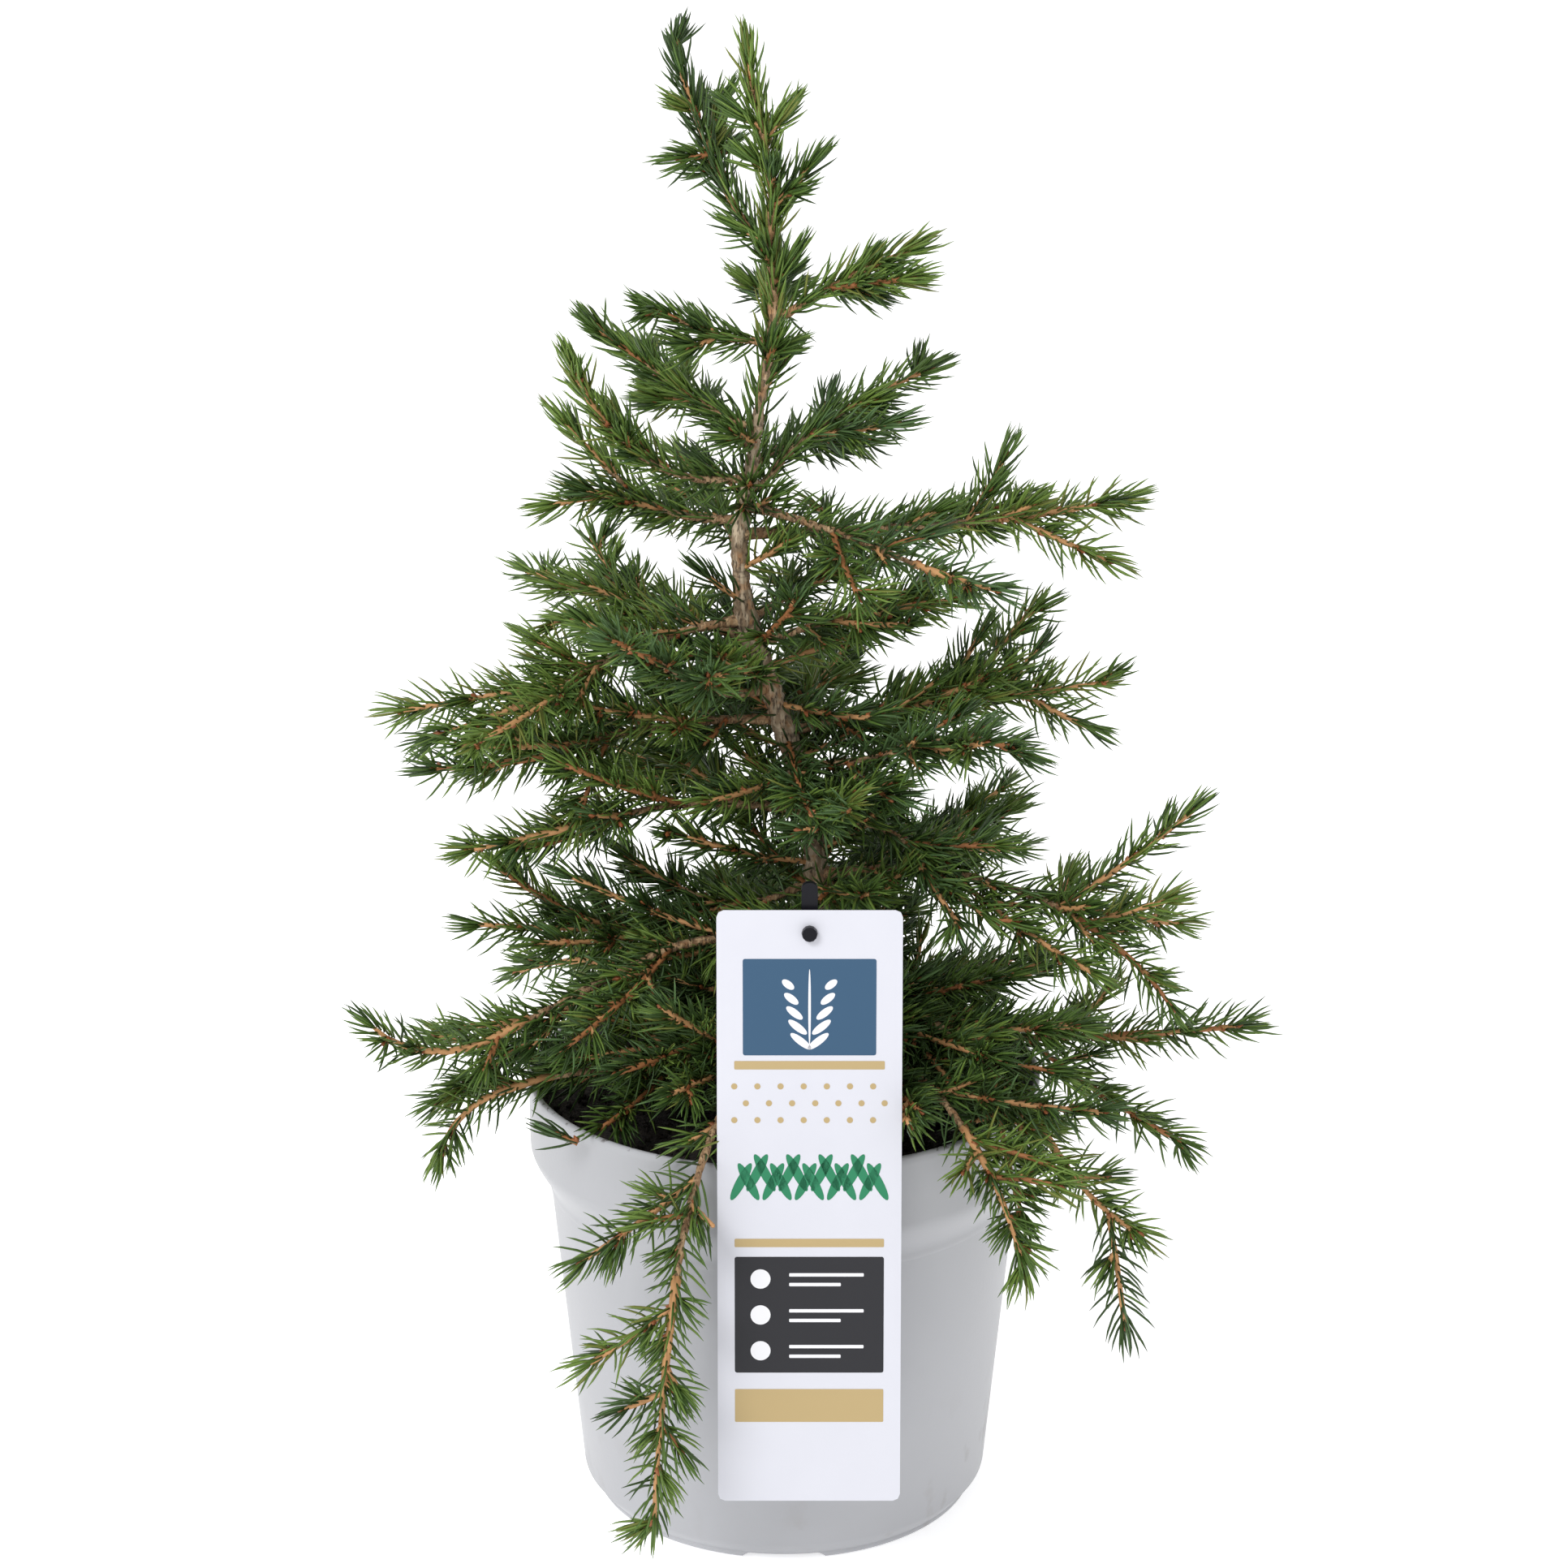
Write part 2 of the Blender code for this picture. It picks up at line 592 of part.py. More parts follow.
def twig_line(stem, share, swing, lift, length, curl):
    """A twig that leaves a stem sideways by swing and upwards by lift, and curls up towards its tip."""
    place, forward, sideways, upward = frame_on(stem, share)
    a, b = math.radians(swing), math.radians(lift)
    way = (forward * math.cos(a) + sideways * math.sin(a)) * math.cos(b) + Vector((0, 0, 1)) * math.sin(b)
    heading = math.degrees(math.atan2(way.y, way.x))
    rise = math.degrees(math.asin(max(-1, min(1, way.normalized().z))))
    return swept(place, heading, TWIG_TURN_BACK * swing, length, (rise, rise + curl), LINE_STEPS)


def needle_spots(line, bare, rng):
    """Roots and directions of the needles round a twig, between its bare foot and its spiked tip."""
    end = 1 - 0.9 * SPIKE_LENGTH / length_of(line)
    count = max(2, round(length_of(line) * (end - bare) / NEEDLE_SPACING))
    turn = rng.uniform(0, 2 * math.pi)
    lean = math.radians(NEEDLE_LEAN)
    for index in range(count):
        share = bare + (end - bare) * (index + 0.7) / count
        place, forward, sideways, upward = frame_on(line, share)
        angle = turn + index * GOLDEN_ANGLE
        around = sideways * math.cos(angle) + upward * (0.25 + math.sin(angle))
        yield place, (forward * math.cos(lean) + around.normalized() * math.sin(lean)).normalized()


def needle_shape():
    """One long three-sided needle that stands on the origin and points along +Z."""
    mesh = bpy.data.meshes.new("needle")
    work = bmesh.new()
    bmesh.ops.create_cone(work, cap_ends=True, segments=3, radius1=NEEDLE_RADIUS, radius2=0,
                          depth=NEEDLE_LENGTH)
    bmesh.ops.remove_doubles(work, verts=work.verts, dist=0.01 * MM)
    bmesh.ops.translate(work, vec=(0, 0, NEEDLE_LENGTH / 2), verts=work.verts)
    work.to_mesh(mesh)
    work.free()
    return mesh


def core_points(line, steps, stub=0):
    """A core's points: a straight stub at its foot, even steps, then a last one that tapers to a point."""
    reach = length_of(line)
    points = part_of(line, stub / reach, max(0.2, 1 - SPIKE_LENGTH / reach), steps) + [line[-1]]
    return line[:1] + points if stub else points


def core(name, points):
    """The slim core of a stem or twig that the needles stand out of."""
    radii = [*np.linspace(CORE_RADIUS, CORE_END_RADIUS, len(points) - 1), SPIKE_RADIUS]
    return mesh_from(tube(name + "_curve", points, radii, 0), name)


def make_foliage(bough, stem, index, parts, segments, space, needle):
    """One mass: a stem with twigs by a seeded rule and needles on all of them, fused into one body."""
    owner = "foliage_" + bough.name
    rng = np.random.default_rng(100 + index)
    mass = link(core(owner, core_points(stem, STEM_STEPS, FOOT_STUB)), parts, "needles")
    pieces = new_collection(owner + "_pieces")
    lines = [stem]
    for line in side_twigs(bough, stem, rng):
        points = core_points(line, TWIG_STEPS)
        ends = [np.array(point) for point in points]
        if all(space.is_free(owner, a, b, CORE_RADIUS) for a, b in zip(ends, ends[1:])):
            lines.append(line)
            link(core("twig", points), pieces)
            add_segments(segments, owner, ends, [CORE_RADIUS] * len(ends))
    for line in lines:
        for root, way in needle_spots(line, bare_of_stem(bough) if line is stem else 0, rng):
            tip = root + way * NEEDLE_LENGTH
            if space.is_free(owner, np.array(root), np.array(tip), NEEDLE_RADIUS):
                obj = bpy.data.objects.new("needle", needle)
                turn = way.to_track_quat("Z", "Y").to_matrix().to_4x4()
                obj.matrix_world = Matrix.Translation(root) @ turn
                pieces.objects.link(obj)
                middle = (np.array(root) + np.array(tip)) / 2
                segments.append((owner, np.array(root), middle, NEEDLE_RADIUS))
                segments.append((owner, middle, np.array(tip), NEEDLE_RADIUS * 0.5))
    space.refresh(segments)
    fuse(mass, pieces)


def fuse(mass, pieces):
    """One Boolean union of a mass with its collection, applied; then the collection goes."""
    union = mass.modifiers.new("fuse", "BOOLEAN")
    union.operation = "UNION"
    union.operand_type = "COLLECTION"
    union.collection = pieces
    union.solver = "MANIFOLD"
    graph = bpy.context.evaluated_depsgraph_get()
    fused = bpy.data.meshes.new_from_object(mass.evaluated_get(graph))
    mass.modifiers.clear()
    mass.data = fused
    for piece in list(pieces.objects):
        bpy.data.objects.remove(piece, do_unlink=True)
    bpy.data.collections.remove(pieces)
    keep_largest(fused)


def keep_largest(mesh):
    """Keep the body with the most faces: loose scraps and the walls of sealed hollows are dropped."""
    work = bmesh.new()
    work.from_mesh(mesh)
    bmesh.ops.triangulate(work, faces=work.faces)
    unseen = set(work.faces)
    groups = []
    while unseen:
        group, front = [], [unseen.pop()]
        while front:
            face = front.pop()
            group.append(face)
            near = {other for edge in face.edges for other in edge.link_faces} & unseen
            unseen -= near
            front.extend(near)
        groups.append(group)
    groups.sort(key=len)
    for group in groups[:-1]:
        bmesh.ops.delete(work, geom=group, context="FACES")
    bmesh.ops.delete(work, geom=[vert for vert in work.verts if not vert.link_faces], context="VERTS")
    work.to_mesh(mesh)
    work.free()


def rounded_card():
    """The card's outline as a flat curve, with round corners and the hole for its peg."""
    curve = bpy.data.curves.new("label_outline", "CURVE")
    curve.dimensions = "2D"
    curve.fill_mode = "BOTH"
    curve.extrude = CARD_THICK / 2
    half = CARD_WIDTH / 2 - CARD_CORNER
    outline = []
    for x, y, first in ((half, -CARD_CORNER, 0), (-half, -CARD_CORNER, 90),
                        (-half, CARD_CORNER - CARD_HEIGHT, 180), (half, CARD_CORNER - CARD_HEIGHT, 270)):
        for angle in np.radians((first, first + 45, first + 90)):
            outline.append((x + CARD_CORNER * math.cos(angle), y + CARD_CORNER * math.sin(angle)))
    hole = [(CARD_HOLE_RADIUS * math.cos(a), CARD_HOLE_RADIUS * math.sin(a) - CARD_HOLE_DROP)
            for a in np.linspace(0, 2 * math.pi, 13)[:-1]]
    for loop in (outline, hole):
        spline = curve.splines.new("POLY")
        spline.points.add(len(loop) - 1)
        spline.use_cyclic_u = True
        for spline_point, (x, y) in zip(spline.points, loop):
            spline_point.co = (x, y, 0, 1)
    return bpy.data.objects.new("label_outline", curve)


def make_label(parts):
    """The card leans on the pot's lip and hangs from a peg on a stake that stands in the soil."""
    top, down, face = card_frame()
    across = Vector((1, 0, 0))
    rows = Matrix((across, -down, across.cross(-down))).transposed().to_4x4()
    card = rounded_card()
    card.matrix_world = Matrix.Translation(top) @ rows
    link(mesh_from(card, "label_card"), parts, "card")

    hole = top + down * CARD_HOLE_DROP
    stake_y = top.y + STAKE_THICK / 2 + STAKE_GAP
    work = bmesh.new()
    bmesh.ops.create_cube(work, size=1)
    height = STAKE_TOP - SOIL_TOP - CLEAR
    bmesh.ops.scale(work, vec=(STAKE_WIDTH, STAKE_THICK, height), verts=work.verts)
    bmesh.ops.translate(work, vec=(CARD_X, stake_y, SOIL_TOP + CLEAR + height / 2), verts=work.verts)
    top_edges = [edge for edge in work.edges
                 if all(vert.co.z > STAKE_TOP - CLEAR for vert in edge.verts)
                 and abs(edge.verts[0].co.y - edge.verts[1].co.y) > CLEAR]
    bmesh.ops.bevel(work, geom=top_edges, offset=STAKE_ROUND, segments=4, profile=0.5, affect="EDGES")
    mesh = bpy.data.meshes.new("label_holder")
    work.to_mesh(mesh)
    work.free()
    holder = link(bpy.data.objects.new("label_holder", mesh), parts, "holder")
    pieces = new_collection("peg_pieces")
    turn = face.to_track_quat("Z", "Y").to_matrix().to_4x4()
    back = (hole.y - stake_y) / face.y
    front = CARD_THICK / 2 + CLEAR
    for low, high, radius in ((-back, front + PEG_HEAD_LENGTH / 4, PEG_RADIUS),
                              (front, front + PEG_HEAD_LENGTH, PEG_HEAD_RADIUS)):
        work = bmesh.new()
        bmesh.ops.create_cone(work, cap_ends=True, segments=PEG_SIDES, radius1=radius,
                              radius2=radius * PEG_TAPER, depth=high - low)
        peg_mesh = bpy.data.meshes.new("peg")
        work.to_mesh(peg_mesh)
        work.free()
        peg = bpy.data.objects.new("peg", peg_mesh)
        peg.matrix_world = Matrix.Translation(hole + face * (low + high) / 2) @ turn
        link(peg, pieces)
    fuse(holder, pieces)


def make_plant(parts, segments):
    """Trunk, boughs and foliage. All limbs are known before the first needle is placed."""
    make_trunk(parts, segments)
    stems = {}
    for bough in BOUGHS:
        stems[bough.name] = make_bough(bough, parts, segments) if is_main(bough) else bough_line(bough)
    peak = trunk_at(TRUNK_STATIONS[-1].height)[0]
    leader = Bough("leader", 0, LEADER_HEADING, 0, 0, LEADER_RISES, 0)
    foot = peak + Vector((0, 0, CLEAR))
    stems["leader"] = swept(foot, LEADER_HEADING, 0, LEADER_STEM, LEADER_RISES, LINE_STEPS)
    for name, stem in stems.items():
        points = core_points(stem, STEM_STEPS, FOOT_STUB)
        add_segments(segments, "foliage_" + name, points, [CORE_RADIUS] * len(points))
    space = Space(segments)
    needle = needle_shape()
    for index, bough in enumerate([leader] + BOUGHS):
        make_foliage(bough, stems[bough.name], index, parts, segments, space, needle)


def main():
    clear_scene()
    parts = new_collection("potted_spruce")
    cutters = new_collection("cutters")
    segments = []
    make_pot(parts, cutters)
    make_soil(parts)
    make_label(parts)
    make_plant(parts, segments)


main()
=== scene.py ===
# %% [markdown]
# A small potted spruce
#
# The real thing is a dwarf spruce in a pale grey nursery pot. A bare, crooked trunk carries about forty
# boughs, each bough's twigs carry needles, and a printed card hangs on a black holder at the front.
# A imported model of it, made of plain solids, is the frame: this script loads it, hides the plain solids one
# by one, and grows the finished surfaces in the same place, in metres.

# %% Load the frame
import math
from collections import namedtuple

import bmesh
import bpy
import numpy as np
from mathutils import Matrix, Vector, noise


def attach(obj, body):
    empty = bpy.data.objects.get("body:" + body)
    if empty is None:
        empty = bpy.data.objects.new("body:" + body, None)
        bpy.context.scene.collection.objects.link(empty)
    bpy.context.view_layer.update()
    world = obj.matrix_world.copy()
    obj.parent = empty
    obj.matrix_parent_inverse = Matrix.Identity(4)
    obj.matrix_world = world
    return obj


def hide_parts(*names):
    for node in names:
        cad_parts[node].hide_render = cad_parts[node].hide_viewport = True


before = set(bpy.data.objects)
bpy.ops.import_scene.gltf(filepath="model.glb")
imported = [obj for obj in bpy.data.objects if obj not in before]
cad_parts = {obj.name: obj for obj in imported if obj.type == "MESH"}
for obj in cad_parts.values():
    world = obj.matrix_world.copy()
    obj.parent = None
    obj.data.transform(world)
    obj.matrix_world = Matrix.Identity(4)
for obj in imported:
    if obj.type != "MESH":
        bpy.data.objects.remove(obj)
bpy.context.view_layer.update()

MM = 0.001

# %% [markdown]
# Shader arithmetic
#
# A finish such as scuffed plastic is a formula: base colour, plus dirt where a mask says so. Wiring a dozen
# Math nodes by hand hides the formula, so `Level` wraps one socket and lets Python's own operators add the
# nodes. `Finish` owns a material, and its one method `node` adds every other kind of node.

# %% Shader arithmetic
class Level:
    """A value or colour that changes over a surface. Arithmetic on a value adds Math nodes."""

    def __init__(self, finish, socket):
        self.finish = finish
        self.socket = socket

    def maths(self, operation, first, second):
        return self.finish.node("ShaderNodeMath", {"operation": operation}, {0: first, 1: second})

    def __add__(self, other):
        return self.maths("ADD", self, other)

    def __radd__(self, other):
        return self.maths("ADD", other, self)

    def __sub__(self, other):
        return self.maths("SUBTRACT", self, other)

    def __rsub__(self, other):
        return self.maths("SUBTRACT", other, self)

    def __mul__(self, other):
        return self.maths("MULTIPLY", self, other)

    def __rmul__(self, other):
        return self.maths("MULTIPLY", other, self)

    def __truediv__(self, other):
        return self.maths("DIVIDE", self, other)

    def __gt__(self, other):
        return self.maths("GREATER_THAN", self, other)

    def __lt__(self, other):
        return self.maths("LESS_THAN", self, other)


class Finish:
    """One material. Steady values go straight on its shader; what changes comes through nodes."""

    def __init__(self, name, colour, roughness, **steady):
        self.material = bpy.data.materials.new(name)
        self.material.use_nodes = True
        self.tree = self.material.node_tree
        self.shader = self.tree.nodes["Principled BSDF"]
        self.feed("Base Color", (*colour, 1))
        self.feed("Roughness", roughness)
        for label, value in steady.items():
            self.feed(label.replace("_", " "), value)
        self.material.diffuse_color = (*colour, 1)

    def feed(self, label, value, node=None):
        socket = (node or self.shader).inputs[label]
        if isinstance(value, Level):
            self.tree.links.new(value.socket, socket)
        else:
            socket.default_value = value

    def node(self, kind, settings=None, sockets=None, output=0):
        """Any node: its settings first, then its sockets' values or links."""
        made = self.tree.nodes.new(kind)
        for label, value in (settings or {}).items():
            if label == "stops":
                self.set_stops(made.color_ramp, value)
            else:
                setattr(made, label, value)
        for label, value in (sockets or {}).items():
            self.feed(label, value, made)
        return Level(self, made.outputs[output])

    def set_stops(self, ramp, stops):
        while len(ramp.elements) < len(stops):
            ramp.elements.new(1)
        for element, (place, colour) in zip(ramp.elements, stops):
            element.position = place
            element.color = (*colour, 1)

    def place(self):
        return self.node("ShaderNodeTexCoord", output="Object")

    def stretched(self, scale):
        """Object coordinates, scaled apart along X, Y and Z."""
        return self.node("ShaderNodeMapping", {}, {"Vector": self.place(), "Scale": scale})

    def grain(self, scale, detail=4, place=None):
        """Soft noise from 0 to 1, with patches 1/scale metres wide."""
        sockets = {"Vector": place or self.place(), "Scale": scale, "Detail": detail}
        return self.node("ShaderNodeTexNoise", {}, sockets)

    def clipped(self, level, low, high):
        """A level spread so that low gives 0 and high gives 1."""
        return self.node("ShaderNodeMapRange", {}, {"Value": level, "From Min": low, "From Max": high})

    def mixed(self, mask, first, second):
        """One colour where the mask is 0 and the other where it is 1. Sockets 6 and 7 hold the colours."""
        colours = {6: first if isinstance(first, Level) else (*first, 1),
                   7: second if isinstance(second, Level) else (*second, 1)}
        return self.node("ShaderNodeMix", {"data_type": "RGBA"}, {0: mask, **colours}, output=2)

    def bump(self, height, distance, strength=1.0):
        sockets = {"Height": height, "Distance": distance, "Strength": strength}
        self.feed("Normal", self.node("ShaderNodeBump", {}, sockets))


# %% [markdown]
# Finished pieces
#
# Every piece ends the same way: a mesh whose object stays at the origin, a finish, smooth shading that
# breaks at sharp edges, a ride on the model's one body and the name of its material slot. One function does
# it all. Meshes are shaped in a `bmesh` and only written out at the end.

# %% Finished pieces
SHARP_ANGLE = math.radians(38)


def piece(name, mesh, finish, replaces=(), sharp=SHARP_ANGLE):
    """Put a mesh in the scene as a finished piece of the object."""
    obj = bpy.data.objects.new(name, mesh)
    bpy.context.scene.collection.objects.link(obj)
    mesh.materials.append(finish.material)
    mesh.shade_smooth()
    if sharp:
        mesh.set_sharp_from_angle(angle=sharp)
    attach(obj, "root")
    if replaces:
        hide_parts(*replaces)
    print(f"{name}: {len(mesh.polygons)} faces")
    return obj


def mesh_of(work, name):
    mesh = bpy.data.meshes.new(name)
    work.to_mesh(mesh)
    work.free()
    return mesh


# %% [markdown]
# Sizes
#
# The plant's sizes are the frame's own: trunk stations, boughs and forks, in millimetres and degrees. A
# heading turns anticlockwise from +X seen from above, and a rise is measured up from level. The crown is
# grown from these numbers by rules, so the finished twigs start and end where the plain solids do.

# %% Sizes of the trunk and boughs
CLEAR = 0.3 * MM
GOLDEN_ANGLE = math.radians(137.5)
CROWN_RADIUS = 160 * MM
TrunkStation = namedtuple("TrunkStation", "height x y radius")
TRUNK_STATIONS = [TrunkStation(*(value * MM for value in row)) for row in (
    (153.9, 13.5, 0, 8.0),
    (159, 13.5, 0, 6.0),
    (168, 13.4, 0, 5.0),
    (231, 12.6, 0, 4.3),
    (268, 9.5, 1, 4.1),
    (302, -1.8, 2, 4.0),
    (326, -9.8, 1, 4.2),
    (338, -13.9, 0, 4.1),
    (356, -15.7, 0, 3.2),
    (371, -15.8, 0, 3.0),
    (390, -11.8, 1, 2.5),
    (420, -8.0, 1, 2.1),
    (448, -3.0, 0, 2.3),
    (472, -5.3, 0, 1.6),
    (487, -3.8, 0, 1.5),
    (506, -6.4, 0, 1.3),
    (528, -11.6, 0, 1.1),
)]
Bough = namedtuple("Bough", "name height heading turn length rises bare")
BOUGHS = [Bough(*row) for row in (
    ("leader_left", 472, 145, -2, 85, (44, 66, 68), 0.30),
    ("crest_right", 448, -8, 0, 64, (36, 25, 27), 0.14),
    ("crest_left", 438, 186, 0, 52, (3, 27, 29), 0.14),
    ("crest_back", 443, 84, 10, 56, (20, 28, 34), 0.14),
    ("top_left", 408, 171, -1, 72, (23, 36, 34), 0.16),
    ("top_front_left", 389, 202, 1, 95, (-2, 45, 79), 0.38),
    ("top_right", 386, 23, 0, 90, (51, 22, 16), 0.30),
    ("top_back_right", 394, 62, 0, 102, (8, -1, 1), 0.24),
    ("top_back", 400, 128, 8, 82, (24, 22, 24), 0.22),
    ("upper_left", 374, 167, -1, 85, (-8, 42, 49), 0.34),
    ("upper_front_right", 379, -34, -1, 115, (-5, -13, -3), 0.36),
    ("upper_right", 369, 10, 0, 151, (-1, 2, 11), 0.42),
    ("upper_back", 364, 100, 6, 118, (4, 6, 12), 0.32),
    ("mid_left", 337, 196, 1, 124, (-5, -27, -7), 0.36),
    ("mid_right", 330, 1, 0, 80, (22, 9, 9), 0.24),
    ("mid_back_right", 338, 48, 0, 82, (12, 20, 15), 0.24),
    ("mid_back_left", 330, 140, -6, 124, (6, 0, 6), 0.32),
    ("mid_front_left", 312, -126, 0, 108, (6, 34, 22), 0.28),
    ("waist_left", 300, 184, 0, 134, (2, -17, 4), 0.36),
    ("waist_right", 296, 10, 1, 126, (12, 2, 9), 0.32),
    ("waist_front_right", 284, -33, 0, 106, (11, 25, -34), 0.28),
    ("waist_back", 292, 82, 6, 138, (4, -2, 4), 0.34),
    ("low_left", 266, 190, 1, 134, (14, -12, -8), 0.38),
    ("low_front", 268, -79, 0, 75, (23, 16, 11), 0.24),
    ("low_right", 262, -30, -1, 88, (21, -44, -12), 0.28),
    ("low_back", 262, 122, 8, 146, (2, -8, 0), 0.36),
    ("base_left", 236, 168, -1, 84, (-35, 18, 41), 0.24),
    ("base_right", 242, -13, -2, 154, (14, -19, -61), 0.46),
    ("base_back", 236, 55, 8, 148, (0, -8, 2), 0.36),
    ("skirt_left", 218, 178, -1, 131, (-12, 13, 46), 0.44),
    ("skirt_left_long", 208, 205, 0, 193, (40, -18, -21, 67), 0.48),
    ("skirt_right", 206, 2, 0, 174, (-43, 1, 6), 0.40),
    ("skirt_front_right", 197, -37, -5, 168, (10, -21, -49, 0), 0.42),
    ("skirt_back", 212, 95, 6, 156, (-2, -12, -4), 0.36),
    ("rim_left", 180, 202, -1, 165, (2, -8, 6, -18, -104), 0.60),
    ("rim_front_left", 171, -113, -2, 246, (27, 9, -39, -72, -78, -83), 0.44),
    ("rim_front_right", 175, -60, 0, 160, (22, 8, -16, -42, -66), 0.56),
    ("rim_back", 171, 140, 8, 158, (18, 2, -32), 0.56),
)]
Fork = namedtuple("Fork", "share swing lift length curl")
FORKS = {name: [Fork(*row) for row in rows] for name, rows in {
    "leader_left": ((0.45, 35, -40, 22, 10), (0.62, -40, -10, 18, 25)),
    "crest_right": ((0.30, -24, -16, 46, 0),),
    "upper_left": ((0.42, 30, -22, 44, -20),),
    "upper_right": ((0.50, 26, 44, 40, 20), (0.62, -30, -24, 50, 0)),
    "mid_left": ((0.52, -18, 12, 72, 4), (0.44, -30, 36, 34, 10)),
    "waist_left": ((0.38, -14, 6, 62, -30), (0.40, 58, -30, 46, -50)),
    "waist_right": ((0.42, 24, 52, 42, 0), (0.60, 30, 40, 36, 0), (0.66, -20, -28, 40, 0)),
    "low_right": ((0.40, 24, 20, 46, 14),),
    "base_right": ((0.54, 22, 42, 72, 14), (0.62, 18, 36, 44, 0)),
    "skirt_left": ((0.50, 16, -10, 66, 6),),
    "skirt_front_right": ((0.84, -30, -50, 52, -20),),
    "rim_left": ((0.64, -34, 6, 36, -30),),
    "rim_front_left": ((0.50, -34, 34, 26, 0), (0.72, 50, -30, 22, 20), (0.76, -40, 20, 28, 10)),
    "rim_front_right": ((0.62, 34, 20, 42, -10), (0.72, 40, 30, 36, -20)),
}.items()}
MAIN_BOUGH = 130
BOUGH_STEPS = 18
BOUGH_FOOT_RADIUS = 2.6 * MM
BOUGH_SLIMMING = 0.55
LIMB_SLENDER = 0.76
FULL_BOUGH = 165
FOOT_STUB = 2 * MM
LINE_STEPS = 6
print("boughs:", len(BOUGHS), "forks:", sum(len(rows) for rows in FORKS.values()))

# %% [markdown]
# Lines of growth
#
# A bough is a line before it is wood. `swept` walks forward in small steps: its heading turns evenly and its
# rise runs through a few values, as a limb's does when it droops under its own weight and then turns up to
# the light. Everything later asks a line for places and directions on it.

# %% Lines of growth
def trunk_at(height):
    """Centre and radius of the trunk at a height."""
    table = np.array(TRUNK_STATIONS)
    x, y, radius = (np.interp(height, table[:, 0], table[:, column]) for column in (1, 2, 3))
    return np.array((x, y, height)), radius


def swept(start, heading, turn, length, rises, steps):
    """Points of a limb whose heading turns evenly and whose rise runs through the values of rises."""
    share = (np.arange(steps) + 0.5) / steps
    bearing = np.radians(heading + turn * share)
    rise = np.radians(np.interp(share, np.linspace(0, 1, len(rises)), rises))
    ways = np.stack((np.cos(rise) * np.cos(bearing), np.cos(rise) * np.sin(bearing), np.sin(rise)), 1)
    return np.vstack((start, start + np.cumsum(ways * (length / steps), 0)))


def distances(line):
    """How far along the line each of its points is."""
    return np.concatenate(([0], np.cumsum(np.linalg.norm(np.diff(line, axis=0), axis=1))))


def places_on(line, shares):
    along = distances(line)
    return np.stack([np.interp(np.asarray(shares) * along[-1], along, line[:, axis]) for axis in range(3)], 1)


def part_of(line, low, high, steps):
    return places_on(line, np.linspace(low, high, steps + 1))


def unit(rows):
    return rows / np.maximum(np.linalg.norm(rows, axis=-1, keepdims=True), 1e-9)


def frames_on(line, shares):
    """Places and forward, sideways and upward directions at many shares of a line."""
    shares = np.asarray(shares, float)
    ahead = places_on(line, np.minimum(1, shares + 0.02))
    forward = unit(ahead - places_on(line, np.maximum(0, shares - 0.02)))
    sideways = np.stack((-forward[:, 1], forward[:, 0], np.zeros(len(shares))), 1)
    sideways[np.linalg.norm(sideways, axis=1) < 0.05] = (1, 0, 0)
    sideways = unit(sideways)
    return places_on(line, shares), forward, sideways, np.cross(forward, sideways)


def bough_line(bough):
    """Centre line of a bough, from just clear of the trunk's bark to its tip."""
    height = bough.height * MM
    centre = trunk_at(height)[0]
    bearing = math.radians(bough.heading)
    outward = np.array((math.cos(bearing), math.sin(bearing), 0))
    beside = [trunk_at(height + drop) for drop in (-BOUGH_FOOT_RADIUS, 0, BOUGH_FOOT_RADIUS)]
    reach = max((place - centre) @ outward + thick for place, thick in beside)
    foot = centre + outward * (reach + CLEAR)
    line = swept(foot + outward * FOOT_STUB, bough.heading, bough.turn, bough.length * MM - FOOT_STUB,
                 bough.rises, BOUGH_STEPS)
    return np.vstack((foot, line))


def bough_radius(bough, share):
    """A bough's radius at a share of its length; a longer bough is thicker."""
    foot = BOUGH_FOOT_RADIUS * min(1, 0.45 + 0.55 * bough.length / FULL_BOUGH)
    return foot * (1 - BOUGH_SLIMMING * share)


def stem_of(bough):
    """The line of a bough's foliage: all of a short bough, and what lies past the bare limb of a main one."""
    line = bough_line(bough)
    if bough.length < MAIN_BOUGH:
        return line
    low = bough.bare + 2 * FOOT_STUB / distances(line)[-1]
    return part_of(line, low, 1, BOUGH_STEPS)


# %% [markdown]
# The rule for side twigs
#
# A spruce branches by one rule at every size: side twigs leave to the left and right in turn, at about fifty
# degrees, a little raised, each about half as long as what is left of its stem. The same function makes the
# twigs that the plain solids have, the finer ones between them, and the short twigs on twigs. Each bough has
# its own seeded generator, so the plant is the same every time the script runs.

# %% The rule for side twigs
TwigRule = namedtuple("TwigRule", "spacing share shortest longest angle lift")
MAIN_TWIGS = TwigRule(36 * MM, 0.52, 15 * MM, 46 * MM, 50, (-6, 20))
FILL_TWIGS = TwigRule(20 * MM, 0.46, 18 * MM, 42 * MM, 50, (-30, 30))
SLIM_TWIGS = TwigRule(17 * MM, 0.26, 13 * MM, 18 * MM, 36, (-20, 20))
FINE_TWIGS = TwigRule(17 * MM, 0.50, 16 * MM, 25 * MM, 46, (-28, 28))
INNER_TWIGS = TwigRule(19 * MM, 0.40, 26 * MM, 46 * MM, 58, (-42, 30))
SPACING_SPREAD = (0.8, 1.2)
FIRST_SPREAD = (0.25, 0.7)
LENGTH_SPREAD = (0.85, 1.1)
ANGLE_SPREAD = 8
END_GAP = 8 * MM
TWIG_CURL = 14
TURN_BACK = -0.25


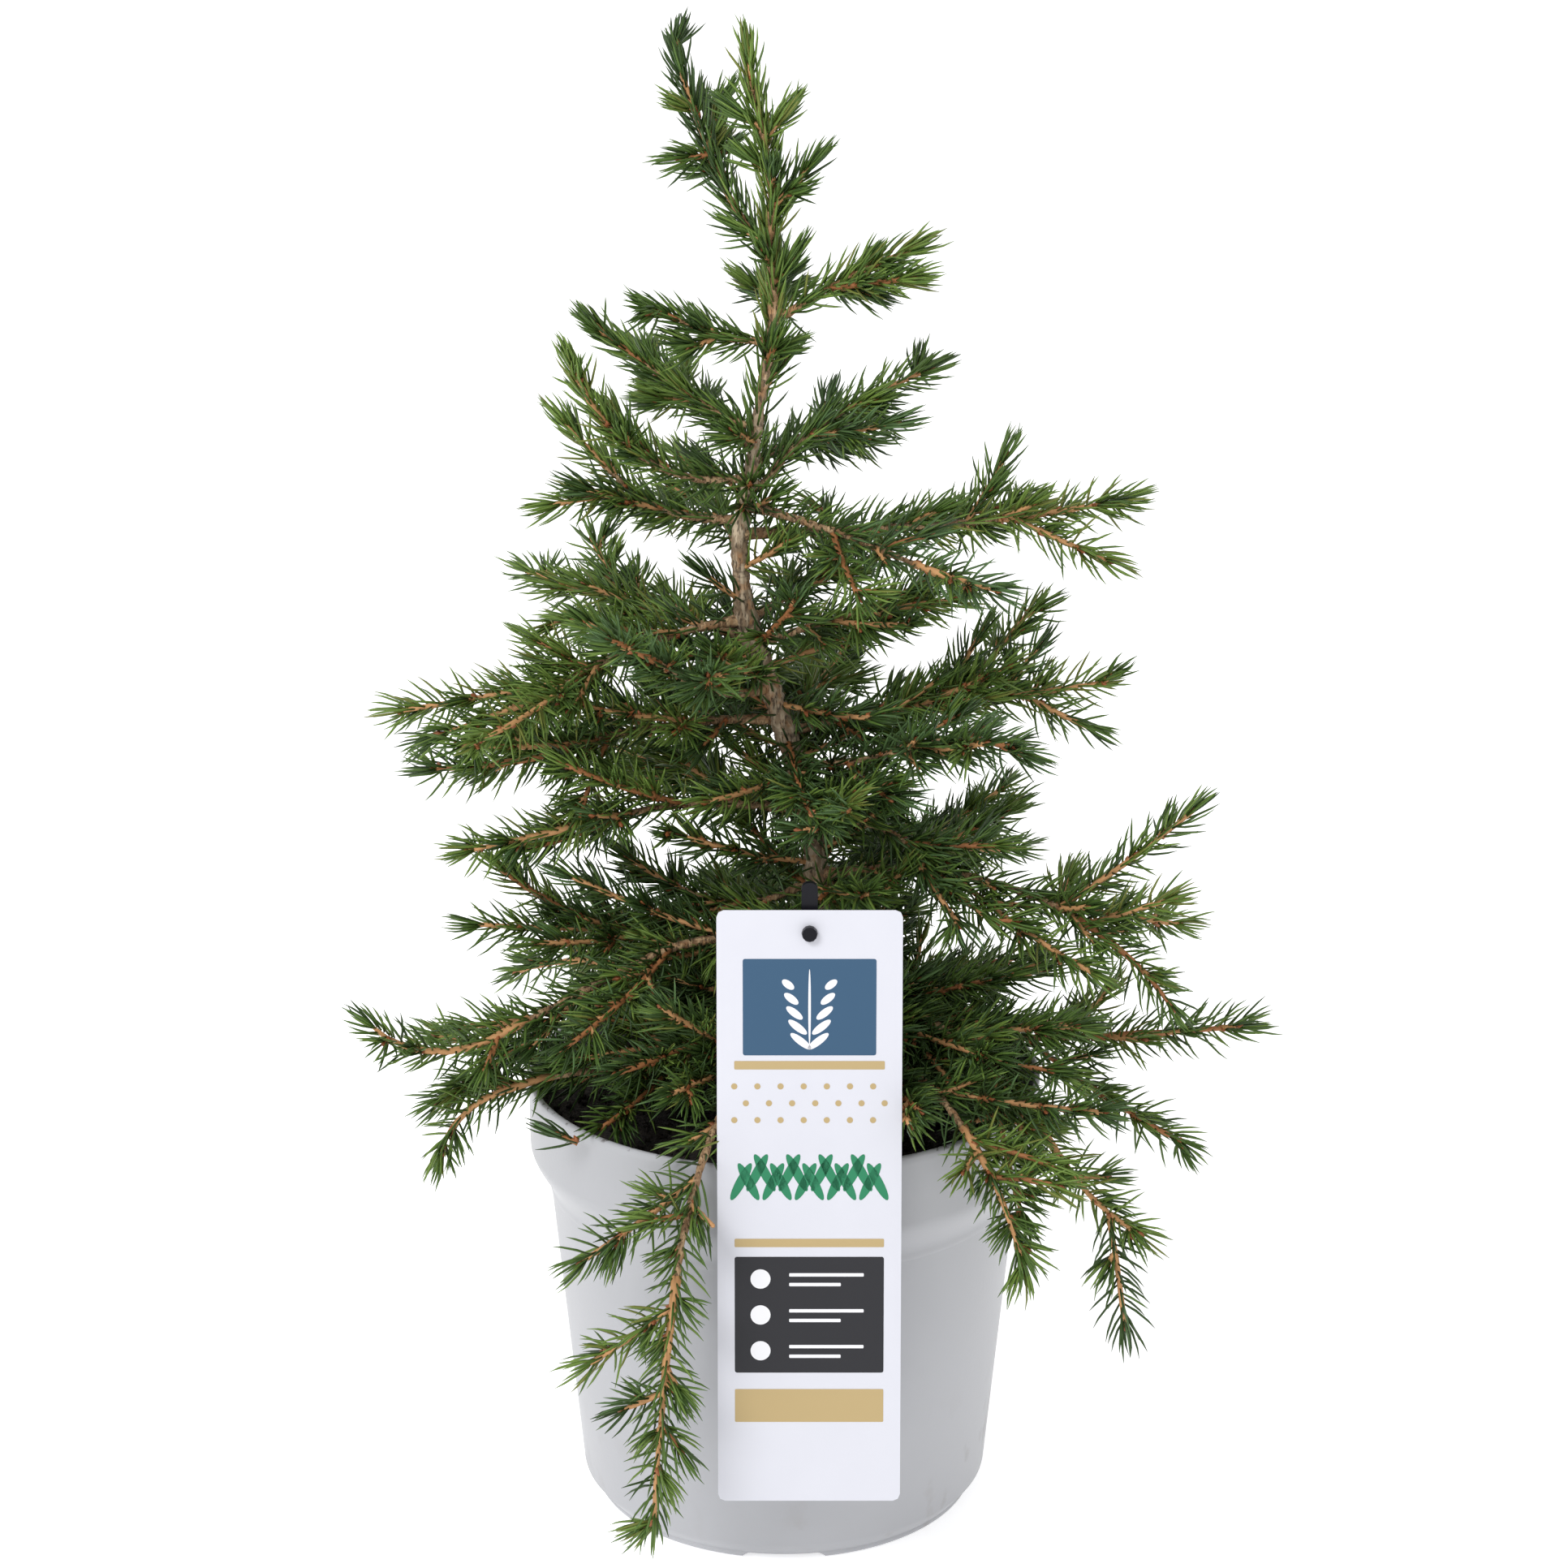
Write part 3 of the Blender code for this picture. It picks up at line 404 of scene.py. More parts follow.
def twig_line(stem, share, swing, lift, length, curl):
    """A twig that leaves a stem sideways by swing and upwards by lift, and curls up towards its tip."""
    place, forward, sideways, upward = (rows[0] for rows in frames_on(stem, [share]))
    a, b = math.radians(swing), math.radians(lift)
    way = unit((forward * math.cos(a) + sideways * math.sin(a)) * math.cos(b) + np.array((0, 0, math.sin(b))))
    heading = math.degrees(math.atan2(way[1], way[0]))
    rise = math.degrees(math.asin(way[2]))
    return swept(place, heading, TURN_BACK * swing, length, (rise, rise + curl), LINE_STEPS)


def side_twigs(stem, low, rule, rng):
    """Lines of the twigs along a stem, from the share called low to its tip."""
    reach = distances(stem)[-1]
    side = 1 if rng.random() < 0.5 else -1
    place = low * reach + rng.uniform(*FIRST_SPREAD) * rule.spacing
    twigs = []
    while place < reach - END_GAP:
        left = reach - place
        length = min(rule.longest, max(rule.shortest, rule.share * left)) * rng.uniform(*LENGTH_SPREAD)
        swing = side * (rule.angle + rng.uniform(-ANGLE_SPREAD, ANGLE_SPREAD))
        twigs.append(twig_line(stem, place / reach, swing, rng.uniform(*rule.lift), length, TWIG_CURL))
        place += rule.spacing * rng.uniform(*SPACING_SPREAD)
        side = -side
    return twigs


# %% [markdown]
# Room for the twigs
#
# The low boughs pass over soil, lip and card. A twig or needle that would stick into one of them is left
# out. The test works on many points at once, against the pot's own outline and the card's own plane.

# %% Room for the twigs
RIM_RADIUS = 95 * MM
POT_HEIGHT = 165.8 * MM
LIP_WALL = 2.4 * MM
SOIL_TOP = 153.6 * MM
COLLAR_BOTTOM = 140 * MM
SHOULDER_BOTTOM = 121.8 * MM
SHOULDER_RADIUS = 87.2 * MM
FOOT_RADIUS = 72 * MM
CARD_WIDTH = 64 * MM
CARD_HEIGHT = 212 * MM
CARD_THICK = 0.8 * MM
CARD_TOP = 256.4 * MM
CARD_X = 8.8 * MM
CARD_LEAN = math.radians(8)
CARD_DOWN = np.array((0, -math.sin(CARD_LEAN), -math.cos(CARD_LEAN)))
CARD_FACE = np.array((0, -math.cos(CARD_LEAN), math.sin(CARD_LEAN)))
LIP_AT_CARD = -math.sqrt(RIM_RADIUS ** 2 - CARD_X ** 2) - CLEAR / math.cos(CARD_LEAN)
CARD_MIDDLE = np.array((CARD_X, LIP_AT_CARD, POT_HEIGHT)) + CARD_FACE * (CARD_THICK / 2 + 0.1 * MM)
CARD_TOP_MIDDLE = CARD_MIDDLE - CARD_DOWN * ((CARD_TOP - POT_HEIGHT) / math.cos(CARD_LEAN))
ROOM = 0.6 * MM


def pot_radius(height):
    """The pot's outer radius at each height."""
    heights = (0, SHOULDER_BOTTOM, COLLAR_BOTTOM, POT_HEIGHT)
    return np.interp(height, heights, (FOOT_RADIUS + 3 * MM, SHOULDER_RADIUS, RIM_RADIUS, RIM_RADIUS))


def has_room(points):
    """For rows of points, which are clear of the pot, the soil, the ground and the card."""
    out = np.hypot(points[..., 0], points[..., 1])
    height = points[..., 2]
    over_soil = out < RIM_RADIUS - LIP_WALL - ROOM
    in_pot = (height < POT_HEIGHT + ROOM) & (out < pot_radius(height) + ROOM) & ~over_soil
    in_soil = over_soil & (height < SOIL_TOP + ROOM)
    offset = points - CARD_TOP_MIDDLE
    along, off_face = offset @ CARD_DOWN, offset @ CARD_FACE
    by_card = (np.abs(offset[..., 0]) < CARD_WIDTH / 2 + ROOM) & (along > -ROOM) & (along < CARD_HEIGHT + ROOM)
    on_card = by_card & (off_face > -ROOM) & (off_face < 60 * MM)
    return ~(in_pot | in_soil | on_card | (height < ROOM))


# %% [markdown]
# Growing the crown
#
# Each bough gives two lists: wood, the lines that become twigs, and shoots, the stretches of wood that carry
# needles. The last stretch of each line, a little over a centimetre, has no wood, because needles lean past
# the end of a shoot and close over its bud like a brush. Length, angle and spacing come from the rules above.

# %% Growing the crown
Wood = namedtuple("Wood", "line foot tip")
Shoot = namedtuple("Shoot", "line low tone thick spread")
TUFT_REACH = 12.5 * MM
TWIG_FOOT_RADIUS = 1.15 * MM
TWIG_TIP_RADIUS = 0.9 * MM
FINE_PARENT = 22 * MM
SECOND_LIMB_SHARES = (0.16, 0.30, 0.46)
SECOND_LIMB_LENGTH = 0.56
SECOND_LIMB_LONGEST = 86 * MM
SECOND_LIMB_SWING = (20, 46)
SECOND_LIMB_LIFT = (-34, 24)
HANGING = ("rim_front_left", "rim_front_right", "skirt_front_right")
NEEDLED_TRUNK = 350
OPEN_CROWN = 345
SHORTEST_KEPT = 0.45
LEADER_STEM = 22 * MM
LEADER_HEADING = 160
LEADER_RISES = (90, 78, 76)
# Heights and shares for the darkest green: the lower the spray, the more of it, which is painted shade under the crown.
SHADE_HEIGHTS = (180, 250, 330, 500)
SHADE_SHARES = (0.12, 0.38, 0.52, 0.66)
# Boughs facing the front, where the bluish green stands for painted sheen on the waxy needles.
FACING = ("mid_front_left", "low_front", "waist_front_right", "low_right", "upper_front_right", "top_right")


def tone_for(line, bough, rng):
    """The green of a spray: darkest low down and near the trunk, painted shade as well as older needles; fresher
    further out and towards the top; bluish on boughs that face the front, painted sheen as well as waxy bloom.
    """
    out = math.hypot(line[-1][0], line[-1][1]) / CROWN_RADIUS
    age = rng.random()
    # More sprays take the darkest green low down and near the trunk: painted shade, with the real darkness of older
    # needles.
    if age > np.interp(bough.height, SHADE_HEIGHTS, SHADE_SHARES) + 0.8 * out:
        return "deep"
    # Boughs that face the front get the bluish green: a painted sheen of the waxy needles, as well as their bloom.
    if bough.name in FACING and rng.random() < 0.45:
        return "blue"
    return "fresh" if age < 0.22 + 0.4 * out * (bough.height - 130) / 300 else "leaf"


def wood_of(line):
    """The woody part of a twig's line, which stops short of its tuft of needles."""
    reach = distances(line)[-1]
    return part_of(line, 0, max(0.25, 1 - TUFT_REACH / reach), LINE_STEPS)


def kept_part(twig):
    """A twig up to where it would run into the pot, soil or card, or nothing if that leaves too little."""
    free = has_room(part_of(twig, 0, 1, 20))
    share = 1.0 if free.all() else (np.argmin(free) - 1) / 20
    return part_of(twig, 0, share, LINE_STEPS) if share > SHORTEST_KEPT else []


def second_limbs(bough, limb, rng):
    """Lesser limbs that fork off a bough close to the trunk and fill the inside of the crown."""
    side = 1 if rng.random() < 0.5 else -1
    length = min(SECOND_LIMB_LONGEST, SECOND_LIMB_LENGTH * bough.length * MM)
    lines = []
    for share in SECOND_LIMB_SHARES if bough.height < OPEN_CROWN else SECOND_LIMB_SHARES[1:2]:
        swing = side * rng.uniform(*SECOND_LIMB_SWING)
        lift = rng.uniform(*SECOND_LIMB_LIFT)
        lines.append(twig_line(limb, share, swing, lift, length * rng.uniform(0.7, 1.0), TWIG_CURL))
        side = -side
    return lines


def first_twigs(bough, index, stem, bare, fine):
    """Lines of the twigs and lesser limbs that leave a bough, the plain model's own ones first."""
    low = bough.bare if bough.length >= MAIN_BOUGH else 0
    rng = np.random.default_rng(100 + index)
    lines = [twig_line(stem, max(0.02, (fork.share - low) / (1 - low)), fork.swing, fork.lift,
                       fork.length * MM, fork.curl) for fork in FORKS.get(bough.name, ())]
    if bough.name != "leader":
        lines += side_twigs(stem, bare, MAIN_TWIGS, rng)
        lines += side_twigs(stem, bare, SLIM_TWIGS if bough.name in HANGING else FILL_TWIGS, fine)
        limb = bough_line(bough)
        if bough.height < OPEN_CROWN:
            inner = part_of(limb, 0, max(bough.bare, 0.3), BOUGH_STEPS)
            lines += side_twigs(inner, 0.12, INNER_TWIGS, fine)
        for line in second_limbs(bough, limb, fine):
            lines += [line] + side_twigs(line, 0.05, FILL_TWIGS, fine)
    return lines


def add_twigs(lines, bough, rng):
    """Keep what has room of each twig, with short twigs of its own, as wood and as a shoot."""
    for line in lines:
        kept = kept_part(wood_of(line))
        if not len(kept):
            continue
        family = [kept]
        if distances(line)[-1] > FINE_PARENT:
            family += [kept_part(wood_of(fine)) for fine in side_twigs(kept, 0.1, FINE_TWIGS, rng)]
        for twig in family:
            if len(twig):
                all_wood.append(Wood(twig, TWIG_FOOT_RADIUS, TWIG_TIP_RADIUS))
                all_shoots.append(Shoot(twig, 0.0, tone_for(twig, bough, rng), TWIG_TIP_RADIUS, 1))


stems = {bough.name: stem_of(bough) for bough in BOUGHS}
peak = trunk_at(TRUNK_STATIONS[-1].height)[0] + np.array((0, 0, CLEAR))
leader = Bough("leader", 528, LEADER_HEADING, 0, 22, LEADER_RISES, 0)
stems["leader"] = swept(peak, LEADER_HEADING, 0, LEADER_STEM, LEADER_RISES, LINE_STEPS)
all_wood, all_shoots = [], []
for index, bough in enumerate([leader] + BOUGHS):
    fine = np.random.default_rng(700 + index)
    stem = stems[bough.name]
    bare = 0 if bough.length >= MAIN_BOUGH else bough.bare
    all_shoots.append(Shoot(wood_of(stem), bare, tone_for(stem, bough, fine), TWIG_TIP_RADIUS, 1))
    add_twigs(first_twigs(bough, index, stem, bare, fine), bough, fine)
    if bough is not leader:
        old = part_of(bough_line(bough), 0.02, bough.bare + 0.04, BOUGH_STEPS)
        # Old limbs low in the crown carry the darkest green: painted shade inside the crown, and older needles.
        tone, spread = ("leaf", 0.9) if bough.height > NEEDLED_TRUNK else ("deep", 1.6)
        all_shoots.append(Shoot(old, 0.0, tone, LIMB_SLENDER * bough_radius(bough, 0.2), spread))
total = sum(distances(shoot.line)[-1] for shoot in all_shoots)
print("twigs:", len(all_wood), "shoots:", len(all_shoots), "metres of shoot:", round(total, 2))

# %% [markdown]
# Needles on the upper trunk
#
# The youngest part of the trunk is a shoot itself and still carries its needles, so the stretch above the
# crest is added to the shoots.

# %% Needles on the upper trunk
GREEN_TRUNK = ((432, 528, 0.75, "fresh"), (376, 436, 1.6, "leaf"))
for bottom, top, spread, tone in GREEN_TRUNK:
    young = np.array([trunk_at(height)[0] for height in np.linspace(bottom * MM, top * MM, 24)])
    all_shoots.append(Shoot(young, 0.0, tone, trunk_at((bottom + top) / 2 * MM)[1], spread))

# %% [markdown]
# Small sprays on the trunk
#
# Small sprays also grow straight from the trunk. At the top they are the leader's own young side twigs. Low
# down, where the crown is dense and dark, short sprays leave the trunk on all sides, longer ones reach out
# towards the lip, and a hundred and thirty-seven degrees between one and the next keeps them from lining up.

# %% Small sprays on the trunk
CrownTwig = namedtuple("CrownTwig", "height heading rise length")
CROWN_TWIGS = [CrownTwig(*row) for row in (
    (512, 180, 30, 22),
    (508, 0, 48, 24),
    (503, 100, 40, 20),
    (497, 185, 34, 20),
    (492, -80, 42, 20),
    (485, 2, 42, 32),
    (478, 60, 35, 22),
    (473, 176, 20, 24),
    (465, -110, 34, 22),
    (457, -5, 52, 24),
    (450, 100, 30, 26),
    (430, -70, 40, 28),
    (420, 30, 45, 26),
    (402, -118, 20, 30),
    (386, -88, 12, 27),
    (380, -96, -6, 20),
    (377, -40, 24, 30),
    (383, 150, 25, 34),
    (356, -30, 28, 34),
    (344, -150, 34, 32),
)]
SprayRing = namedtuple("SprayRing", "count low high length rise")
SPRAY_RINGS = (
    SprayRing(30, 200 * MM, 330 * MM, (44 * MM, 76 * MM), (-20, 38)),
    SprayRing(14, 168 * MM, 196 * MM, (62 * MM, 96 * MM), (-4, 16)),
    SprayRing(19, 181 * MM, 200 * MM, (96 * MM, 118 * MM), (-14, 0)),
)
core = np.random.default_rng(64)
sprays = [(twig.height * MM, twig.heading, twig.rise, twig.length * MM) for twig in CROWN_TWIGS]
for ring in SPRAY_RINGS:
    for index in range(ring.count):
        height = ring.low + (ring.high - ring.low) * (index + 0.5) / ring.count
        heading = math.degrees(index * GOLDEN_ANGLE) - 90
        sprays.append((height, heading, core.uniform(*ring.rise), core.uniform(*ring.length)))
for height, heading, rise, length in sprays:
    line = swept(trunk_at(height)[0], heading, 0, length, (rise, rise + TWIG_CURL), LINE_STEPS)
    bough = Bough("spray", height / MM, heading, 0, length / MM, (rise,), 0)
    side = side_twigs(line, 0.15, FILL_TWIGS, core) if length > 40 * MM else []
    add_twigs([line] + side, bough, core)
print("with the trunk's own sprays:", len(all_wood), "twigs")

# %% [markdown]
# Small shapes, many times
#
# Thousands of needles can't each be an object. One small shape is modelled with bmesh, read into arrays, and
# copied by NumPy to every place at once; the copies become one mesh. A needle is a thin three-sided spindle
# that bends forward. A twig's piece of wood is a closed rod, bent onto its line.

# %% Small shapes, many times
Shape = namedtuple("Shape", "corners faces")


def shape_of(work):
    """A bmesh as arrays: its corners, and its faces as triangles."""
    bmesh.ops.triangulate(work, faces=work.faces)
    work.verts.index_update()
    corners = np.array([vert.co for vert in work.verts])
    faces = np.array([[vert.index for vert in face.verts] for face in work.faces])
    work.free()
    return Shape(corners, faces)


def drawn_out(sides, stations):
    """A closed tube along +Z: a circle, extruded through stations of (height, radius)."""
    work = bmesh.new()
    bmesh.ops.create_circle(work, segments=sides, radius=1)
    ring = list(work.verts)
    rim = list(work.edges)
    for index, (height, radius) in enumerate(stations):
        if index:
            grown = bmesh.ops.extrude_edge_only(work, edges=rim)["geom"]
            ring = [item for item in grown if isinstance(item, bmesh.types.BMVert)]
            rim = [item for item in grown if isinstance(item, bmesh.types.BMEdge) and item.is_boundary]
        for vert in ring:
            vert.co = vert.co.xy.normalized().to_3d() * radius
            vert.co.z = height
    bmesh.ops.holes_fill(work, edges=[edge for edge in work.edges if edge.is_boundary])
    bmesh.ops.recalc_face_normals(work, faces=work.faces)
    return work


def copies_mesh(name, shape, places):
    """One mesh from many placed copies of a shape: places holds the corners of each copy."""
    count, corners = places.shape[:2]
    faces = (shape.faces[None] + corners * np.arange(count)[:, None, None]).reshape(-1, 3)
    mesh = bpy.data.meshes.new(name)
    mesh.from_pydata(places.reshape(-1, 3), [], faces)
    return mesh


# %% Shape of a needle
NEEDLE_LENGTH = 13.5 * MM
NEEDLE_RADIUS = 0.54 * MM
NEEDLE_STATIONS = ((0, 0.7), (0.35, 1.0), (0.75, 0.8), (1, 0.12))
needle = shape_of(drawn_out(3, NEEDLE_STATIONS))
print("faces of a needle:", len(needle.faces))

# %% [markdown]
# Needles
#
# Needles stand all round a shoot in a spiral, a little more of them on its upper side. Near the foot of a
# shoot they lean out by about sixty degrees, and towards the tip they close up into a tuft. Each one's bend
# follows the shoot. Colour is dealt out by shoot, with a few needles of the neighbouring greens mixed in, and
# each green is a piece of its own with one plain colour, so the colours stay true in any export.

# %% Needles
NEEDLE_GAP = 0.8 * MM
LEAN_PLACES = (0, 5 * MM, 12 * MM)
LEANS = (20, 46, 64)
UPRIGHT_HUG = 16
LEAN_SPREAD = 7
UPWARD_BIAS = 0.2
BRUSH = (7, 15)
BRUSH_LENGTH = (2.5 * MM, 5.5 * MM)
TOP_OF_CROWN = (370 * MM, 430 * MM)
TOP_GAP = 0.74
TOP_LEAN = 0.78
CURVES = (0.04, 0.36)
STRAYING = 0.10
MIXED_IN = 0.3
Needles = namedtuple("Needles", "root way bend curve length tone")
TONES = ["fresh", "leaf", "deep", "blue", "olive"]
NEAR_TONES = {"fresh": ("leaf", "olive"), "leaf": ("deep", "fresh"), "deep": ("leaf", "blue"),
              "blue": ("deep", "leaf"), "olive": ("fresh", "leaf")}


def needles_on(shoot, rng):
    """Roots, directions, bends, lengths and greens of a shoot's needles."""
    reach = distances(shoot.line)[-1]
    height = shoot.line[-1][2]
    gap = NEEDLE_GAP * shoot.spread * np.interp(height, TOP_OF_CROWN, (1, TOP_GAP))
    count = max(6, int(reach * (1 - shoot.low) / gap))
    share = shoot.low + (1 - shoot.low) * (np.arange(count) + rng.uniform(0, 0.9, count)) / count
    if shoot.spread == 1:
        brush = int(np.interp(height, TOP_OF_CROWN, BRUSH))
        depth = min(0.9, np.interp(height, TOP_OF_CROWN, BRUSH_LENGTH) / reach)
        share = np.concatenate((share, 1 - rng.uniform(0, depth, brush)))
        count += brush
    place, forward, sideways, upward = frames_on(shoot.line, share)
    turn = rng.uniform(0, 2 * math.pi) + np.arange(count) * GOLDEN_ANGLE + rng.normal(0, 0.2, count)
    around = unit(sideways * np.cos(turn)[:, None] + upward * (UPWARD_BIAS + np.sin(turn))[:, None])
    to_tip = (1 - share) * reach
    lean = np.interp(to_tip, LEAN_PLACES, LEANS) * np.interp(height, TOP_OF_CROWN, (1, TOP_LEAN))
    lean += rng.normal(0, LEAN_SPREAD, count)
    lean = np.radians(lean - UPRIGHT_HUG * np.clip(forward[:, 2], 0, 1))[:, None]
    way = unit(forward * np.cos(lean) + around * np.sin(lean) + rng.normal(0, STRAYING, (count, 3)))
    bend = unit(forward - way * np.sum(forward * way, 1)[:, None])
    length = NEEDLE_LENGTH * rng.uniform(0.8, 1.1, count)
    root = place + around * shoot.thick * 0.8
    near = NEAR_TONES[shoot.tone]
    swap = rng.random(count)
    tone = np.where(swap < MIXED_IN / 2, near[0], np.where(swap < MIXED_IN, near[1], shoot.tone))
    return Needles(root, way, bend, rng.uniform(*CURVES, count), length, tone)


def placed_needles(rows):
    """Corners of every needle, bent and turned into its place."""
    across = np.cross(rows.way, rows.bend)
    local = needle.corners
    sag = (rows.curve * rows.length)[:, None] * local[:, 2] ** 2
    along = rows.way[:, None] * (local[:, 2] * rows.length[:, None])[..., None]
    bent = rows.bend[:, None] * (sag + local[:, 0] * NEEDLE_RADIUS)[..., None]
    wide = across[:, None] * (local[:, 1] * NEEDLE_RADIUS)[None, :, None]
    return rows.root[:, None] + along + bent + wide


rng = np.random.default_rng(41)
bunches = [needles_on(shoot, rng) for shoot in all_shoots]
rows = Needles(*(np.concatenate(column) for column in zip(*bunches)))
tips = rows.root + rows.way * rows.length[:, None] + rows.bend * (rows.curve * rows.length)[:, None]
free = has_room(tips) & has_room((rows.root + tips) / 2) & has_room(rows.root)
rows = Needles(*(column[free] for column in rows))
print("needles:", len(rows.root), "left out:", int((~free).sum()))

# %% Greens of the needles
GREENS = {
    "fresh": (0.135, 0.215, 0.040),
    "leaf": (0.078, 0.142, 0.027),
    # The darkest green is painted shade low in the crown and near the trunk, and also the real darkness of older
    # needles.
    "deep": (0.034, 0.068, 0.015),
    # Bluish green: painted sheen on the needles, over their real waxy bloom.
    "blue": (0.082, 0.150, 0.052),
    "olive": (0.155, 0.180, 0.036),
}
PIECE_LIMIT = 190000
for tone in TONES:
    chosen = rows.tone == tone
    group = Needles(*(column[chosen] for column in rows))
    finish = Finish("needle_" + tone, GREENS[tone], 0.45, Specular_IOR_Level=0.3)
    parts = max(1, math.ceil(len(group.root) * len(needle.faces) / PIECE_LIMIT))
    for part in range(parts):
        some = Needles(*(column[part::parts] for column in group))
        name = f"needles_{tone}_{part + 1}"
        covers = ["foliage_" + name for name in stems] if tone == "leaf" and part == 0 else ()
        piece(name, copies_mesh(name, needle, placed_needles(some)), finish, covers, sharp=None)

# %% [markdown]
# Bark
#
# The trunk and limbs are rods with a relief. Old spruce bark breaks into thin scales, long in the direction
# of growth, so a cell pattern gives the cracks between scales and a soft noise gives the scales their
# uneven faces. The relief moves real corners, and the finish adds the finest grain and the colours.

# %% Finish of the bark
YOUNG_BARK = (0.46, 0.25, 0.105)
RUST = (0.36, 0.17, 0.065)


def bark_finish(name, ridge, face, crack, scale):
    """Grey-brown scales with dark cracks between them and paler worn ridges."""
    finish = Finish(name, face, 0.85)
    drawn = finish.stretched((1, 1, 0.3))
    flakes = finish.clipped(finish.grain(scale, 5, drawn), 0.42, 0.58)
    seams = 1 - finish.clipped(finish.grain(scale * 2.2, 3, drawn), 0.33, 0.45)
    patches = finish.clipped(finish.grain(90, 6), 0.35, 0.65)
    colour = finish.mixed(0.3 * patches + 0.7 * flakes, face, ridge)
    rust = finish.clipped(finish.grain(230, 3), 0.54, 0.66)
    colour = finish.mixed(rust * 0.55, colour, RUST)
    rings = finish.clipped(finish.grain(300, 2, finish.stretched((0.12, 0.12, 1))), 0.60, 0.67)
    colour = finish.mixed(rings * 0.6, colour, crack)
    height = finish.node("ShaderNodeSeparateXYZ", {}, {0: finish.place()}, output="Z")
    colour = finish.mixed(finish.clipped(height, 400 * MM, 470 * MM) * 0.8, colour, YOUNG_BARK)
    finish.feed("Base Color", finish.mixed(seams * 0.75, colour, crack))
    finish.feed("Roughness", 0.72 + 0.2 * patches)
    finish.bump(flakes - seams, 0.3 * MM)
    return finish


trunk_bark = bark_finish("trunk_bark", (0.50, 0.40, 0.28), (0.19, 0.125, 0.07), (0.035, 0.02, 0.012), 480)
limb_bark = bark_finish("limb_bark", (0.46, 0.31, 0.17), (0.19, 0.10, 0.045), (0.04, 0.02, 0.01), 620)


# %% Rods bent onto lines
def turning_frames(points):
    """Two directions across a line that turn with it and never flip."""
    along = unit(np.gradient(points, axis=0))
    first = np.array((1.0, 0, 0)) if abs(along[0][2]) > 0.7 else np.array((0, 0, 1.0))
    across = [unit(first - along[0] * (along[0] @ first))]
    for way in along[1:]:
        across.append(unit(across[-1] - way * (across[-1] @ way)))
    across = np.array(across)
    return across, np.cross(along, across)


def bent_rod(rod, line, radius_at):
    """Corners of a straight unit rod laid along a line, with its radius at each share given by a function."""
    heights, ring = np.unique(rod.corners[:, 2].round(6), return_inverse=True)
    points = places_on(line, heights)
    across, other = turning_frames(points)
    radii = np.array([radius_at(share) for share in heights])
    spread = across[ring] * rod.corners[:, :1] + other[ring] * rod.corners[:, 1:2]
    return points[ring] + spread * radii[ring][:, None], spread


def even_rod(sides, rings):
    return shape_of(drawn_out(sides, [(index / rings, 1) for index in range(rings + 1)]))


def bark_relief(corner, scale_size, depth):
    """How far bark stands out at a place: scales with cracks between them, and a soft unevenness."""
    place = Vector(corner) / scale_size
    rings = noise.noise(Vector((place.x * 0.3, place.y * 0.3, place.z * 1.4)))
    place.z *= 0.35
    near = noise.voronoi(place)[0]
    crack = 1 - min(1, (near[1] - near[0]) / 0.35)
    return depth * (0.8 * noise.noise(place * 0.8) + 0.8 * rings - 0.8 * crack ** 2)


def barked(rod, line, radius_at, scale_size, depth):
    corners, spread = bent_rod(rod, line, radius_at)
    relief = np.array([bark_relief(corner, scale_size, depth) for corner in corners])
    return corners + spread * relief[:, None]


# %% [markdown]
# The trunk
#
# The trunk flares where it meets the soil and swells into a dark knotted whorl a third of a metre up, where
# a ring of boughs leaves it. Both are in its stations, so one rod with many rings follows them.

# %% The trunk
TRUNK_SIDES = 26
TRUNK_RING_GAP = 0.8 * MM
low, high = TRUNK_STATIONS[0].height, TRUNK_STATIONS[-1].height
trunk_line = np.array([trunk_at(height)[0] for height in np.linspace(low, high, 160)])
smooth = np.copy(trunk_line)
for _ in range(6):
    smooth[1:-1] = (smooth[:-2] + 2 * smooth[1:-1] + smooth[2:]) / 4
trunk_rod = even_rod(TRUNK_SIDES, int((high - low) / TRUNK_RING_GAP))
WHORL_HEIGHTS = sorted({bough.height * MM for bough in BOUGHS})


def trunk_radius(share):
    """The station's radius, with a small swelling at each bough."""
    height = low + share * (high - low)
    knots = sum(math.exp(-((height - whorl) / (3 * MM)) ** 2) for whorl in WHORL_HEIGHTS)
    return trunk_at(height)[1] * (1 + 0.10 * min(1.5, knots)) - 0.1 * MM


corners = barked(trunk_rod, smooth, trunk_radius, 2.2 * MM, 0.6 * MM)
trunk_mesh = copies_mesh("bark_trunk", trunk_rod, corners[None])
piece("bark_trunk", trunk_mesh, trunk_bark, ["trunk"], sharp=None)

# %% [markdown]
# The limbs
#
# Each bough's wood runs on from the trunk almost to its tip. Its foot starts inside the bark, with a collar
# that thickens quickly, as a real one does. The old part is grey and scaly; further out the stem is young
# and tan, which is a second piece.

# %% The limbs
LIMB_SIDES = 9
LIMB_RINGS = 90
COLLAR_LENGTH = 4 * MM
COLLAR_SWELL = 0.35
KNOT_SPACING = 5 * MM
KNOT_SWELL = 0.3
YOUNG_SHARE = 0.62
limb_rod = even_rod(LIMB_SIDES, LIMB_RINGS)


